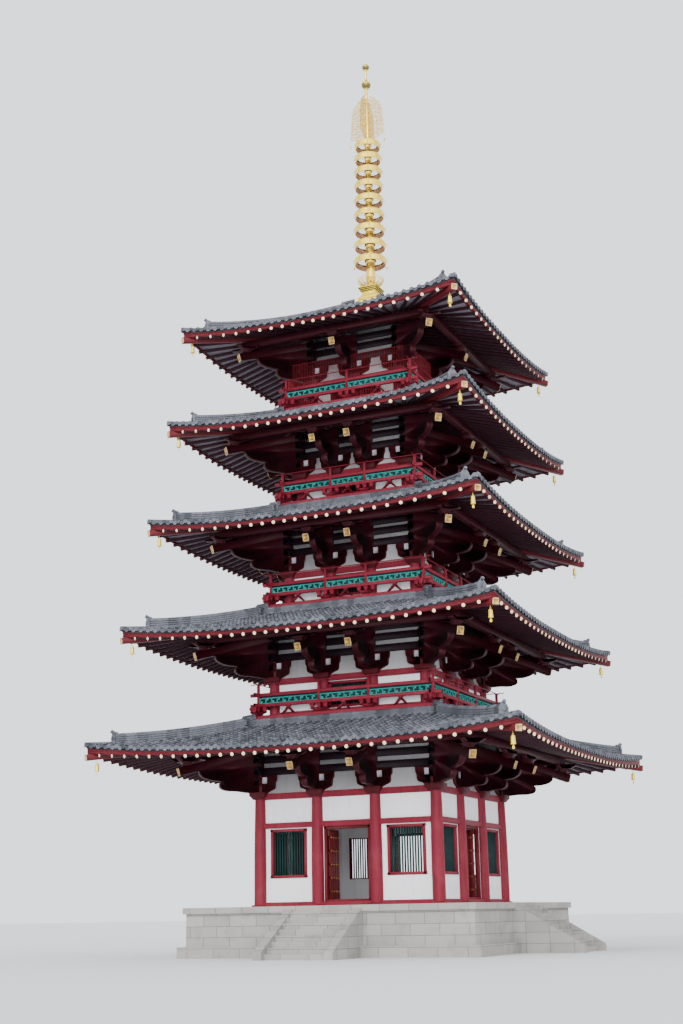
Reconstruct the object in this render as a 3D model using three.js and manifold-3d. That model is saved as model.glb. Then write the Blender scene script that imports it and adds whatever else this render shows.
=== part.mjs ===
// Five-storey timber pagoda: stone platform, hollow storeys that step inwards, tiled hipped roofs
// on cloud-shaped brackets, balconies with railings, and a gilded finial with nine rings.
// Millimetres, +Z up, origin on the ground under the centre. The front faces -Y, the right side +X.

import * as THREE from 'three';
import { mergeVertices } from 'three/addons/utils/BufferGeometryUtils.js';
import Module from 'manifold-3d';

const wasm = await Module();
wasm.setup();

// Driving dimensions
const TOTAL_HEIGHT = 39200;
const SEAT = 0.3;                   // gap left where one piece rests on or butts another

// One entry a storey. body: half width at the column line. columns: places of the columns along a
// side. floor: level the walls stand on. head: top of the head beam. eave: half width at the hip ends.
const PLATFORM_TOP = 1800;
const STOREYS = [
  { body: 3640, columns: [-3640, -1200, 1200, 3640], floor: PLATFORM_TOP, head: 6030, eave: 8500 },
  { body: 3210, columns: [-3210, -1050, 1050, 3210], floor: 9030, head: 10520, eave: 7620, rail: 3690 },
  { body: 2740, columns: [-2740, -880, 880, 2740], floor: 13520, head: 14880, eave: 6910, rail: 3310 },
  { body: 2340, columns: [-2340, -760, 760, 2340], floor: 17820, head: 19070, eave: 6390, rail: 2930 },
  { body: 1950, columns: [-1950, 0, 1950], floor: 21960, head: 23220, eave: 6010, rail: 2800 },
];
const LAST = STOREYS.length - 1;

// Platform and steps
const PLATFORM = { half: 5700, plinthHalf: 5950, plinthTop: 400, copingHalf: 5800, copingDepth: 220 };
const STEPS = { count: 9, tread: 300, width: 2400, cheek: 320 };

// Columns, walls and the beams that tie them
const COLUMN_RADIUS = 210;
const COLUMN_SIDES = 8;
const WALL_FACE = 20;               // the wall's outer face lies this far inside the column line
const WALL_INNER = 180;             // and its inner face this far
const HEAD_BEAM = { depth: 220, out: 110 };
const SILL_BEAM = { depth: 160, out: 120 };
const DOOR = { half: 950, top: 4700, jamb: 100, leaf: 60 };
const LOWER_WINDOW = { half: 700, bottom: 2900, top: 4600 };
const UPPER_WINDOW = { sill: 260, drop: 330, margin: 260 };
const TOP_WINDOW = { from: 270, to: 1080 };

// Bracket zone: heights above the head beam
const BRACKET_THICK = 280;
const BEAM_OUT = 100;               // face of the beam stack, out from the column line
const TOP_STACK = 2400;             // height of the beam stack on the top storey
const PURLIN = { out: 2100, width: 250, depth: 260 };
const BLOCK_HALF = 110;              // of the bearing block under the purlin
const ARM = [                       // two cloud lobes and the tail rafter's end: out from wall, up
  [0, 30], [600, 90], [1080, 170], [1160, 440], [1430, 500], [1660, 650], [1700, 910], [2300, 690],
];
const TAIL = { end: 2320, top: 1010, slope: 0.4 };

// Eaves and roofs: heights are measured from the head beam
const RAFTER_END = 1035;            // centre of a rafter's end at the middle of a side
const RAFTER_DEPTH = 170;
const RAFTER_AT_WALL = 2150;        // underside of the rafters at the wall
const BOARD = 35;
const FASCIA = { top: 250, thick: 150, inset: 60 };
const CORNER_LIFT = 350;
const LIFT_POWER = 2.5;
const HIP_END = 1235;               // centre of the hip rafter's square end
const HIP_RAFTER = { size: 310, nearWall: 2100 };
const TILE = { overhang: 60, edge: 150, thick: 200, sag: 0.2 };
const TOP_ROOF = { half: 560, level: 26950, sag: 0.3 };
const ROOF_DROP = 330;              // top of a lower roof, below the floor that stands on it
const RIDGE = { width: 300, low: 380, high: 440, endInset: 750, stepAt: 0.78, bendAt: 0.38 };
const LEVEL_RIDGE = { width: 200, bottom: 430, top: 110 };   // round a lower roof's top, below that floor

// Balconies: heights are measured from the storey's floor level
const FLOOR_SLAB = { edge: 90, thick: 150 };
const EDGE_BEAM = { half: 60, bottom: 350, top: 430 };       // on the bearing blocks, under the railing
const BASE_BEAM = { half: 90, top: 30 };
const BEARING_BLOCK = { foot: 150, head: 350, thick: 100 };
const RAIL = {                      // from, to and half thickness of each rail
  lower: [430, 560, 60], middle: [800, 900, 60], upper: [1230, 1300, 40], post: 50, reach: 350,
};

// Finial. Its base is given as heights from and to with half widths: a box on the roof's top, a skirt
// that tapers upwards and a cornice. A plug under the box fills the roof's top opening.
const FINIAL = {
  plugDepth: 100, foot: 90, box: [26950, 27470, 450], skirt: [27470, 27840, 430, 300],
  cornice: [27840, 27970, 420], lotus: { foot: 260, waist: 215, top: 28480, rim: 600 },
  shaft: { top: 34980, radius: [200, 115] }, rodRadius: 68,
  rings: { count: 9, first: 29270, pitch: 775, closing: 7.8, radius: [690, 555], height: 220, wall: 50 },
  hub: { radius: [240, 170], height: 300 },
  flame: { bottom: 35250, top: 37540, reach: 800 }, lowBall: [38090, 215], highBall: [39010, 165],
};

// Finishes
const finish = (color, roughness, metalness = 0) => () =>
  new THREE.MeshStandardMaterial({ color, roughness, metalness });
const vermilion = finish(0x962a26, 0.6);
const plaster = finish(0xdedad2, 0.9);
const stone = finish(0xa8a49a, 0.85);
const tile = finish(0x6c7280, 0.6);
const gilt = finish(0xd8b25a, 0.35, 1);
const eaveTimber = finish(0x5a2422, 0.7);
const doorTimber = finish(0x7c2420, 0.6);

// Solids from three.js geometries, joined and cut
function solid(geometry) {
  const bare = geometry.clone();
  bare.deleteAttribute('normal');
  bare.deleteAttribute('uv');
  const merged = mergeVertices(bare, 0.01);
  return new wasm.Manifold(new wasm.Mesh({
    numProp: 3,
    vertProperties: Float32Array.from(merged.attributes.position.array),
    triVerts: Uint32Array.from(merged.index.array),
  }));
}

function geometryOf(manifold) {
  const mesh = manifold.asOriginal().simplify(0.02).getMesh();
  const geometry = new THREE.BufferGeometry();
  geometry.setAttribute('position', new THREE.BufferAttribute(Float32Array.from(mesh.vertProperties), 3));
  geometry.setIndex(Array.from(mesh.triVerts));
  return geometry;
}

const joined = (solids) => solids.reduce((whole, next) => whole.add(next));

function box([x0, x1], [y0, y1], [z0, z1]) {
  const geometry = new THREE.BoxGeometry(x1 - x0, y1 - y0, z1 - z0);
  geometry.translate((x0 + x1) / 2, (y0 + y1) / 2, (z0 + z1) / 2);
  return solid(geometry);
}

const slab = (half, z0, z1) => box([-half, half], [-half, half], [z0, z1]);
const squareRing = (outer, inner, z0, z1) => slab(outer, z0, z1).subtract(slab(inner, z0 - 10, z1 + 10));

function column(x, y, z0, z1, radius, topRadius = radius, sides = COLUMN_SIDES) {
  const geometry = new THREE.CylinderGeometry(topRadius, radius, z1 - z0, sides);
  geometry.rotateX(Math.PI / 2);
  geometry.translate(x, y, (z0 + z1) / 2);
  return solid(geometry);
}

// An outline of [along, up] points, given a thickness and stood in a vertical plane: `along` runs
// from `origin` in the level direction `heading` (an angle from +X), `up` is +Z.
function plate(outline, thick, origin, heading) {
  const shape = new THREE.Shape(outline.map(([along, up]) => new THREE.Vector2(along, up)));
  const geometry = new THREE.ExtrudeGeometry(shape, { depth: thick, bevelEnabled: false });
  geometry.translate(0, 0, -thick / 2);
  const along = new THREE.Vector3(Math.cos(heading), Math.sin(heading), 0);
  const up = new THREE.Vector3(0, 0, 1);
  const across = new THREE.Vector3().crossVectors(along, up);
  geometry.applyMatrix4(new THREE.Matrix4().makeBasis(along, up, across));
  geometry.translate(...origin);
  return solid(geometry);
}

function turned(geometryOrSolid, quarter) {
  return geometryOrSolid.rotate([0, 0, 90 * quarter]);
}

// The same piece on all four sides
const fourTimes = (piece) => joined([0, 1, 2, 3].map((quarter) => turned(piece, quarter)));

const model = new THREE.Group();

function add(name, manifold, material) {
  const mesh = new THREE.Mesh(geometryOf(manifold), material());
  mesh.name = name;
  model.add(mesh);
}

// Lift of an eave above its level middle: it grows towards the corners and fades towards the wall
function lift(storey, along, half) {
  const across = Math.abs(along / half);
  const outwards = Math.max(0, (half - storey.body) / (storey.eave - storey.body));
  return CORNER_LIFT * across ** LIFT_POWER * outwards ** 2;
}

// A four-sided sloping slab. rows run from the eave inwards, each with its half width and the
// heights of its two faces as functions of the place along the side.
const STATIONS = [-1, -0.7, 0, 0.7];
function hippedSlab(rows) {
  const positions = [];
  const columnsRound = STATIONS.length * 4;
  for (let side = 0; side < 4; side += 1) {
    for (const station of STATIONS) {
      for (const row of rows) {
        const along = station * row.half;
        const corner = new THREE.Vector3(along, -row.half, 0);
        corner.applyAxisAngle(new THREE.Vector3(0, 0, 1), (side * Math.PI) / 2);
        positions.push(corner.x, corner.y, row.top(along), corner.x, corner.y, row.bottom(along));
      }
    }
  }
  const index = [];
  const top = (ring, row) => ((ring % columnsRound) * rows.length + row) * 2;
  const bottom = (ring, row) => top(ring, row) + 1;
  const quad = (a, b, c, d) => index.push(a, b, c, a, c, d);
  for (let ring = 0; ring < columnsRound; ring += 1) {
    for (let row = 0; row < rows.length - 1; row += 1) {
      quad(top(ring, row), top(ring + 1, row), top(ring + 1, row + 1), top(ring, row + 1));
      quad(bottom(ring, row), bottom(ring, row + 1), bottom(ring + 1, row + 1), bottom(ring + 1, row));
    }
    const last = rows.length - 1;
    quad(bottom(ring, 0), bottom(ring + 1, 0), top(ring + 1, 0), top(ring, 0));
    quad(top(ring, last), top(ring + 1, last), bottom(ring + 1, last), bottom(ring, last));
  }
  const geometry = new THREE.BufferGeometry();
  geometry.setAttribute('position', new THREE.BufferAttribute(Float32Array.from(positions), 3));
  geometry.setIndex(index);
  return solid(geometry);
}

// Underside of the rafters, as a height above the head beam at a given half width
function rafterUnderside(storey, half) {
  const edge = storey.eave - FASCIA.inset;
  const wall = storey.body + BEAM_OUT;
  const inwards = (edge - half) / (edge - wall);
  return RAFTER_END - RAFTER_DEPTH / 2 + inwards * (RAFTER_AT_WALL - RAFTER_END + RAFTER_DEPTH / 2);
}

function purlinSpan(storey) {
  const centre = storey.body + PURLIN.out;
  const top = storey.head + rafterUnderside(storey, centre + PURLIN.width / 2) - SEAT;
  return { centre, top, bottom: top - PURLIN.depth };
}

// Rafter layer with its fascia and the four hip rafters
function eaves(storey) {
  const edge = storey.eave - FASCIA.inset;
  const wall = storey.body + BEAM_OUT + SEAT;
  const rowAt = (half, above) => ({
    half,
    top: (along) => storey.head + above + lift(storey, along, half),
    bottom: (along) => storey.head + rafterUnderside(storey, half) + lift(storey, along, half),
  });
  const layer = RAFTER_DEPTH + BOARD;
  const fasciaBack = edge - FASCIA.thick;
  const middle = (edge + wall) / 2;
  const body = hippedSlab([
    rowAt(edge, RAFTER_END + FASCIA.top),
    rowAt(fasciaBack, RAFTER_END + FASCIA.top),
    rowAt(fasciaBack - 1, rafterUnderside(storey, fasciaBack) + layer),
    rowAt(middle, rafterUnderside(storey, middle) + layer),
    rowAt(wall, rafterUnderside(storey, wall) + layer),
  ]);
  const end = storey.eave * Math.SQRT2;
  const root = (wall + 5) * Math.SQRT2;
  const outline = [
    [root, storey.head + HIP_RAFTER.nearWall], [end, storey.head + HIP_END - HIP_RAFTER.size / 2],
    [end, storey.head + HIP_END + HIP_RAFTER.size / 2], [root, storey.head + RAFTER_AT_WALL + layer - 20],
  ];
  const hip = plate(outline, HIP_RAFTER.size, [0, 0, 0], Math.PI / 4)
    .subtract(slab(wall, storey.head, storey.head + 4000));
  const purlin = purlinSpan(storey);
  const purlinRoom = squareRing(
    purlin.centre + PURLIN.width / 2 + SEAT, purlin.centre - PURLIN.width / 2 - SEAT,
    purlin.bottom - 500, purlin.top + SEAT,
  );
  return body.add(fourTimes(hip).subtract(purlinRoom));
}

// Tile layer with its four hip ridges
function tiles(index) {
  const storey = STOREYS[index];
  const above = STOREYS[index + 1];
  const innerHalf = above ? above.rail + FLOOR_SLAB.edge + SEAT : TOP_ROOF.half;
  const innerTop = above ? above.floor - ROOF_DROP : TOP_ROOF.level;
  const edge = storey.eave - FASCIA.inset;
  const edgeTop = storey.head + RAFTER_END + FASCIA.top + TILE.edge;
  const sag = above ? TILE.sag : TOP_ROOF.sag;
  const surface = (half) => {
    const upwards = (edge - half) / (edge - innerHalf);
    return edgeTop + (innerTop - edgeTop) * (upwards * (1 - sag) + sag * upwards * Math.abs(upwards));
  };
  const rowAt = (half, thick) => ({
    half,
    top: (along) => surface(half) + lift(storey, along, half),
    bottom: (along) => surface(half) - thick + lift(storey, along, half),
  });
  const span = edge - innerHalf;
  const rowPlaces = above ? [0.25, 0.6] : [0.2, 0.45, 0.72];
  const body = hippedSlab([
    rowAt(edge + TILE.overhang, TILE.edge - SEAT),
    rowAt(edge, TILE.edge - SEAT),
    ...rowPlaces.map((place) => rowAt(edge - place * span, TILE.edge)),
    rowAt(innerHalf, TILE.thick),
  ]);
  const ridgeEnd = storey.eave - RIDGE.endInset;
  const ridgeTop = innerHalf + 20;
  const [bend, step] = [RIDGE.bendAt, RIDGE.stepAt].map((place) => ridgeEnd - place * (ridgeEnd - ridgeTop));
  const onRidge = (rise) => (half) => [half * Math.SQRT2, surface(half) + lift(storey, half, half) + rise];
  const outline = [
    ...[ridgeTop, step, bend, ridgeEnd].map(onRidge(-60)),
    ...[ridgeEnd, bend, step].map(onRidge(RIDGE.low)),
    ...[step - 1, ridgeTop].map(onRidge(RIDGE.high)),
  ];
  const roof = body.add(fourTimes(plate(outline, RIDGE.width, [0, 0, 0], Math.PI / 4)));
  if (!above) return roof;
  const { width, bottom, top } = LEVEL_RIDGE;
  return roof.add(squareRing(innerHalf + width, innerHalf, above.floor - bottom, above.floor - top));
}

// Columns standing round a storey, one for each place on each side
function columnPlaces(storey) {
  return storey.columns.slice(0, -1).map((along) => [along, -storey.body]);
}

function frame(storey, isGround) {
  const wallOuter = storey.body - WALL_FACE + SEAT;
  const foot = storey.floor + SEAT;
  const topOfBeam = storey.head;
  const radius = isGround ? COLUMN_RADIUS + 30 : COLUMN_RADIUS;
  const posts = joined(columnPlaces(storey).map(([x, y]) => column(
    x, y, foot, topOfBeam - HEAD_BEAM.depth + 5, radius, COLUMN_RADIUS,
  )));
  const rings = [
    squareRing(storey.body + HEAD_BEAM.out, wallOuter, topOfBeam - HEAD_BEAM.depth, topOfBeam),
  ];
  if (isGround) {
    rings.push(squareRing(storey.body + SILL_BEAM.out, wallOuter, foot, foot + SILL_BEAM.depth));
    rings.push(squareRing(storey.body + HEAD_BEAM.out, wallOuter, DOOR.top, DOOR.top + 200));
  }
  return fourTimes(posts).add(joined(rings)).subtract(slab(wallOuter, foot - 10, topOfBeam + 10));
}

function openingCutters(storey, index) {
  const depth = [-(storey.body + 100), -(storey.body - 400)];
  if (index === 0) {
    const middle = (storey.columns[2] + storey.columns[3]) / 2;
    const windows = [-middle, middle].map((centre) => box(
      [centre - LOWER_WINDOW.half, centre + LOWER_WINDOW.half], depth,
      [LOWER_WINDOW.bottom, LOWER_WINDOW.top],
    ));
    const doorway = box([-DOOR.half, DOOR.half], depth, [storey.floor + SILL_BEAM.depth, DOOR.top]);
    return joined([...windows, doorway]);
  }
  const heights = [storey.floor + UPPER_WINDOW.sill, storey.head - UPPER_WINDOW.drop];
  if (index === LAST) {
    return joined([-1, 1].map((side) => box(
      [TOP_WINDOW.from * side, TOP_WINDOW.to * side].sort((a, b) => a - b), depth, heights,
    )));
  }
  const half = storey.columns[2] - UPPER_WINDOW.margin;
  return box([-half, half], depth, heights);
}

function walls(storey, index) {
  const ring = squareRing(
    storey.body - WALL_FACE, storey.body - WALL_INNER, storey.floor + SEAT, storey.head,
  );
  return ring.subtract(fourTimes(openingCutters(storey, index)));
}

// Stack of beams over the walls, up to the next floor
function beams(index) {
  const storey = STOREYS[index];
  const above = STOREYS[index + 1];
  const top = above ? above.floor - FLOOR_SLAB.thick - SEAT : storey.head + TOP_STACK;
  return squareRing(storey.body + BEAM_OUT, storey.body - WALL_INNER, storey.head + SEAT, top);
}

// Cloud brackets with their tail rafters, and the purlin that they carry
function brackets(storey) {
  const purlin = purlinSpan(storey);
  const purlinRing = squareRing(
    purlin.centre + PURLIN.width / 2, purlin.centre - PURLIN.width / 2, purlin.bottom, purlin.top,
  );
  const blockTop = purlin.bottom - storey.head + 20;
  const onTail = (out) => [out, TAIL.top + (TAIL.end - out) * TAIL.slope];
  const [blockFront, blockBack] = [PURLIN.out + BLOCK_HALF, PURLIN.out - BLOCK_HALF];
  const arm = [
    ...ARM, onTail(TAIL.end), onTail(blockFront), [blockFront, blockTop],
    [blockBack, blockTop], onTail(blockBack), onTail(0),
  ];
  const oneSide = columnPlaces(storey).map(([x, y]) => {
    const isCorner = x === -storey.body;
    const heading = isCorner ? -Math.PI * 0.75 : -Math.PI / 2;
    const outline = isCorner ? arm.map(([out, up]) => [out * Math.SQRT2, up]) : arm;
    return plate(outline, BRACKET_THICK, [x, y, storey.head], heading);
  });
  const room = slab(storey.body + BEAM_OUT + SEAT, storey.head - 10, storey.head + onTail(0)[1] + 10);
  return purlinRing.add(fourTimes(joined(oneSide)).subtract(room));
}

// Floor over the roof below
const floor = (storey) => slab(
  storey.rail + FLOOR_SLAB.edge, storey.floor - FLOOR_SLAB.thick, storey.floor,
);

// Base beam, bearing blocks, and the edge beam on them. The floor itself is the balcony's floor
function balcony(storey) {
  const line = storey.rail;
  const level = (height) => storey.floor + height;
  const pieces = [
    squareRing(line + BASE_BEAM.half, line - BASE_BEAM.half, level(SEAT), level(BASE_BEAM.top)),
    squareRing(line + EDGE_BEAM.half, line - EDGE_BEAM.half, level(EDGE_BEAM.bottom), level(EDGE_BEAM.top)),
  ];
  const { foot, head, thick } = BEARING_BLOCK;
  const block = [
    [-foot, BASE_BEAM.top - 5], [foot, BASE_BEAM.top - 5],
    [head, EDGE_BEAM.top - 5], [-head, EDGE_BEAM.top - 5],
  ];
  const posts = [-line, ...storey.columns.slice(1, -1), line];
  const oneSide = joined(posts.map((x) => plate(block, thick, [x, -line, storey.floor], 0)));
  const room = slab(line + BASE_BEAM.half, level(0), level(EDGE_BEAM.top));
  return joined([...pieces, fourTimes(oneSide).intersect(room)]);
}

function railing(storey) {
  const line = storey.rail;
  const level = (height) => storey.floor + height;
  const reach = line + RAIL.reach;
  const bar = ([from, to, half]) => box(
    [-reach, reach], [-line - half, -line + half], [level(from), level(to)],
  );
  const [foot, , half] = RAIL.lower;
  const panels = squareRing(line + half, line - half, level(foot + SEAT), level(RAIL.middle[1]));
  const posts = [-line, ...storey.columns.slice(1, -1)].map((x) => box(
    [x - RAIL.post, x + RAIL.post], [-line - RAIL.post, -line + RAIL.post],
    [level(RAIL.middle[0]), level(RAIL.upper[0] + 20)],
  ));
  const lower = bar([foot + SEAT, RAIL.lower[1], half]);
  return fourTimes(joined([lower, bar(RAIL.middle), bar(RAIL.upper), ...posts])).add(panels);
}

// Stone platform with a plinth and a coping, and a flight of steps on each side
function platform() {
  return joined([
    slab(PLATFORM.plinthHalf, 0, PLATFORM.plinthTop),
    slab(PLATFORM.half, PLATFORM.plinthTop - 5, PLATFORM_TOP),
    slab(PLATFORM.copingHalf, PLATFORM_TOP - PLATFORM.copingDepth, PLATFORM_TOP),
  ]);
}

function steps() {
  const rise = PLATFORM_TOP / STEPS.count;
  const start = PLATFORM.half + SEAT;
  const run = (STEPS.count - 1) * STEPS.tread;
  const outline = [[start, 0], [start + run, 0]];
  for (let tread = 0; tread < STEPS.count - 1; tread += 1) {
    const out = start + run - tread * STEPS.tread;
    outline.push([out, rise * (tread + 1)], [out - STEPS.tread, rise * (tread + 1)]);
  }
  const cheek = [[start, 0], [start + run + 200, 0], [start + run + 200, 260], [start, PLATFORM_TOP - 40]];
  const half = STEPS.width / 2;
  const parts = [plate(outline, STEPS.width, [0, 0, 0], -Math.PI / 2)];
  for (const side of [-1, 1]) {
    const x = side * (half + STEPS.cheek / 2 - 5);
    parts.push(plate(cheek, STEPS.cheek, [x, 0, 0], -Math.PI / 2));
  }
  const room = joined([
    slab(PLATFORM.plinthHalf + SEAT, -10, PLATFORM.plinthTop + SEAT),
    slab(PLATFORM.copingHalf + SEAT, PLATFORM_TOP - PLATFORM.copingDepth - SEAT, PLATFORM_TOP + 10),
  ]);
  return joined(parts).subtract(room);
}

// Door frame in the doorway, with its two leaves standing open into the room
function door(storey) {
  const outer = -(storey.body - WALL_FACE);
  const inner = -(storey.body - WALL_INNER);
  const bottom = storey.floor + SILL_BEAM.depth + SEAT;
  const top = DOOR.top - SEAT;
  const side = DOOR.half - SEAT;
  const frameSolid = box([-side, side], [outer, inner], [bottom, top]).subtract(box(
    [-(side - DOOR.jamb), side - DOOR.jamb], [outer - 10, inner + 10], [bottom + 60, top - DOOR.jamb],
  ));
  const leafWidth = side - DOOR.jamb - 5;
  const leaves = [-1, 1].map((hand) => box(
    [hand * (leafWidth + 5), hand * (leafWidth + 5 - DOOR.leaf)].sort((a, b) => a - b),
    [inner - 40, inner + leafWidth], [bottom + 70, top - DOOR.jamb - 10],
  ));
  const hinges = [-1, 1].map((hand) => box(
    [hand * (leafWidth - 20), hand * (leafWidth + 30)].sort((a, b) => a - b),
    [inner - 40, inner - 1], [bottom + 30, top - DOOR.jamb + 30],
  ));
  return joined([frameSolid, ...leaves, ...hinges]);
}

// Turned piece from a profile of [radius, height] points that starts and ends on the axis
function lathe(profile, sides) {
  const geometry = new THREE.LatheGeometry(profile.map(([r, z]) => new THREE.Vector2(r, z)), sides);
  geometry.rotateX(Math.PI / 2);
  return solid(geometry);
}

// Square pieces one on another, from a profile of [half width, height] points on the axis at both ends
function squareLathe(profile) {
  const geometry = new THREE.LatheGeometry(
    profile.map(([half, z]) => new THREE.Vector2(half * Math.SQRT2, z)), 4, Math.PI / 4,
  );
  geometry.rotateX(Math.PI / 2);
  return solid(geometry);
}

// Value at a place from 0 to 1 between two ends
const between = ([from, to], place) => from + (to - from) * place;

function finialBase() {
  const { plugDepth, foot, box: [boxBottom, boxTop, boxHalf], skirt, cornice: [low, high, half] } = FINIAL;
  const [, , skirtFoot, neck] = skirt;
  const plugHalf = TOP_ROOF.half - SEAT;
  const footHalf = TOP_ROOF.half + 15;
  const edge = (high - low) / 2;
  return squareLathe([
    [0, boxBottom - plugDepth], [plugHalf, boxBottom - plugDepth], [plugHalf, boxBottom + SEAT],
    [footHalf, boxBottom + SEAT], [footHalf, boxBottom + foot], [boxHalf, boxBottom + foot],
    [boxHalf, boxTop], [skirtFoot, boxTop], [neck, low], [(neck + half) / 2, low + 1],
    [half, high - edge], [half, high], [0, high],
  ]);
}

function finialLotus() {
  const { foot, waist, top, rim } = FINIAL.lotus;
  const bottom = FINIAL.cornice[1] + SEAT;
  return lathe([
    [0, bottom], [foot, bottom], [foot, bottom + 60], [waist, bottom + 110], [waist, bottom + 170],
    [rim * 0.72, top - 170], [rim, top - 30], [rim - 20, top], [0, top],
  ], 12);
}

function finialRing(place) {
  const { rings, hub } = FINIAL;
  const upwards = place / (rings.count - 1);
  const centre = rings.first + rings.pitch * place - rings.closing * place ** 2;
  const radius = between(rings.radius, upwards);
  const inner = radius - rings.wall;
  const [z0, z1] = [centre - rings.height / 2, centre + rings.height / 2];
  const band = column(0, 0, z0, z1, radius, radius, 10).subtract(
    column(0, 0, z0 - 10, z1 + 10, inner, inner, 10),
  );
  const hubRadius = between(hub.radius, upwards);
  const collar = column(0, 0, centre - hub.height / 2, centre + hub.height / 2, hubRadius);
  const spoke = box([-inner, inner], [-30, 30], [z0 + 30, z1 - 30]);
  return joined([band, collar, spoke, turned(spoke, 1)]);
}

function finialMast() {
  const { lotus, shaft, rings, rodRadius, lowBall, highBall } = FINIAL;
  const parts = [
    column(0, 0, lotus.top + SEAT, shaft.top, shaft.radius[0], shaft.radius[1]),
    column(0, 0, shaft.top - 5, highBall[0], rodRadius),
    lathe([[0, lowBall[0] - 215], [150, lowBall[0] - 150], [lowBall[1], lowBall[0]],
      [150, lowBall[0] + 150], [0, lowBall[0] + 230]], 10),
    lathe([[0, highBall[0] - 165], [115, highBall[0] - 115], [highBall[1], highBall[0]],
      [110, highBall[0] + 100], [0, TOTAL_HEIGHT]], 10),
  ];
  for (let place = 0; place < rings.count; place += 1) {
    parts.push(finialRing(place));
  }
  return joined(parts);
}

// Four pierced wings round a sleeve: upright outside, level below, blunt and rounded above
function finialFlame() {
  const { bottom, top, reach } = FINIAL.flame;
  const at = (out, up) => [out * reach, between([bottom, top], up)];
  const outline = [
    at(0.08, 0), at(1, 0), at(0.98, 0.41), at(0.88, 0.76), at(0.69, 0.94), at(0.38, 1), at(0.08, 0.96),
  ];
  const holes = [
    [at(0.28, 0.08), at(0.82, 0.08), at(0.8, 0.28), at(0.28, 0.34)],
    [at(0.26, 0.42), at(0.74, 0.38), at(0.68, 0.62), at(0.26, 0.66)],
  ];
  let wing = plate(outline, 40, [0, 0, 0], 0);
  for (const hole of holes) {
    wing = wing.subtract(plate(hole, 80, [0, 0, 0], 0));
  }
  const sleeve = column(0, 0, bottom, top - 200, 110, 100, 10);
  const boreRadius = FINIAL.rodRadius + SEAT;
  const bore = column(0, 0, bottom - 100, top + 100, boreRadius);
  return sleeve.add(fourTimes(wing)).subtract(bore);
}

add('platform', platform(), stone);
['front', 'right', 'back', 'left'].forEach((side, quarter) => {
  add(`steps_${side}`, turned(steps(), quarter), stone);
  add(`door_${side}`, turned(door(STOREYS[0]), quarter), doorTimber);
});
STOREYS.forEach((storey, index) => {
  const number = index + 1;
  if (index > 0) {
    add(`floor_${number}`, floor(storey), vermilion);
    add(`balcony_${number}`, balcony(storey), vermilion);
    add(`railing_${number}`, railing(storey), vermilion);
  }
  add(`frame_${number}`, frame(storey, index === 0), vermilion);
  add(`walls_${number}`, walls(storey, index), plaster);
  add(`beams_${number}`, beams(index), vermilion);
  add(`brackets_${number}`, brackets(storey), vermilion);
  add(`eaves_${number}`, eaves(storey), eaveTimber);
  add(`roof_tiles_${number}`, tiles(index), tile);
});
add('finial_base', finialBase(), gilt);
add('finial_lotus', finialLotus(), gilt);
add('finial_mast', finialMast(), gilt);
add('finial_flame', finialFlame(), gilt);

export default model;
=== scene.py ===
"""Looks of a five-storey timber pagoda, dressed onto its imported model. Metres, +Z up, front at -Y."""

import math
from collections import namedtuple

import bpy
import numpy as np
from mathutils import Matrix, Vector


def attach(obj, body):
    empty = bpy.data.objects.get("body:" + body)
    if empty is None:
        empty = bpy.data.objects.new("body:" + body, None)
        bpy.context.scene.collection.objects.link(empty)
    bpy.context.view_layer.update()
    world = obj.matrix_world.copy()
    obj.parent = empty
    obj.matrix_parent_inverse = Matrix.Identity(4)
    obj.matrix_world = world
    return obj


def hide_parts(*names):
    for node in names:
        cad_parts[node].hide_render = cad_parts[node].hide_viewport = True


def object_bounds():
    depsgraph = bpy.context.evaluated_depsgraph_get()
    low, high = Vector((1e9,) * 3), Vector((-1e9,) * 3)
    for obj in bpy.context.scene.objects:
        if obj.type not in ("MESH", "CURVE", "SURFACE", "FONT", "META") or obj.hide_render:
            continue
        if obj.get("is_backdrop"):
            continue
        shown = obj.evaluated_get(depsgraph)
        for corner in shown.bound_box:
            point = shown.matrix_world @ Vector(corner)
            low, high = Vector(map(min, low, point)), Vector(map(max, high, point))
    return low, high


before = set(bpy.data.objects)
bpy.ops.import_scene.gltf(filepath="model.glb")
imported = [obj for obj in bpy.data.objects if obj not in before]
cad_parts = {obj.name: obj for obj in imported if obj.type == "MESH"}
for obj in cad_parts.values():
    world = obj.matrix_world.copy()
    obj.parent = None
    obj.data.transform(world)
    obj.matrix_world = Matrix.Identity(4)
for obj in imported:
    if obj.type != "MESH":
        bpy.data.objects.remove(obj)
cad_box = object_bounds()

# Sizes that the model states, in metres. body: half width at the column line. columns: their places
# along a side. floor: walking level. head: top of the head beam. eave: half width at the hips.
# rafters: how many stand each side of an eave's middle one. rail: half width at the railing.
Storey = namedtuple("Storey", "body columns floor head eave rafters rail")
STOREYS = [
    Storey(3.64, (-3.64, -1.2, 1.2, 3.64), 1.8, 6.03, 8.5, 16, None),
    Storey(3.21, (-3.21, -1.05, 1.05, 3.21), 9.03, 10.52, 7.62, 14, 3.69),
    Storey(2.74, (-2.74, -0.88, 0.88, 2.74), 13.52, 14.88, 6.91, 12, 3.31),
    Storey(2.34, (-2.34, -0.76, 0.76, 2.34), 17.82, 19.07, 6.39, 11, 2.93),
    Storey(1.95, (-1.95, 0.0, 1.95), 21.96, 23.22, 6.01, 10, 2.8),
]
FIRST, LAST = STOREYS[0], STOREYS[-1]
EDGE_INSET = 0.06            # face of the fascia, in from the eave
RAFTER_END = 1.035           # centre of a rafter's end over the head beam
RAFTER_RADIUS = 0.07
RAFTER_SPACING = 0.435
RAFTER_FOOT = 2.15           # their lower side at the wall, over the head beam
CORNER_LIFT = 0.35
THICKER = 0.08               # more of the fascia at a corner than at the middle
RIDGE_TOP_HALF = 0.56        # half width where the top roof ends
RIDGE_TOP_LEVEL = 26.95
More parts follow.
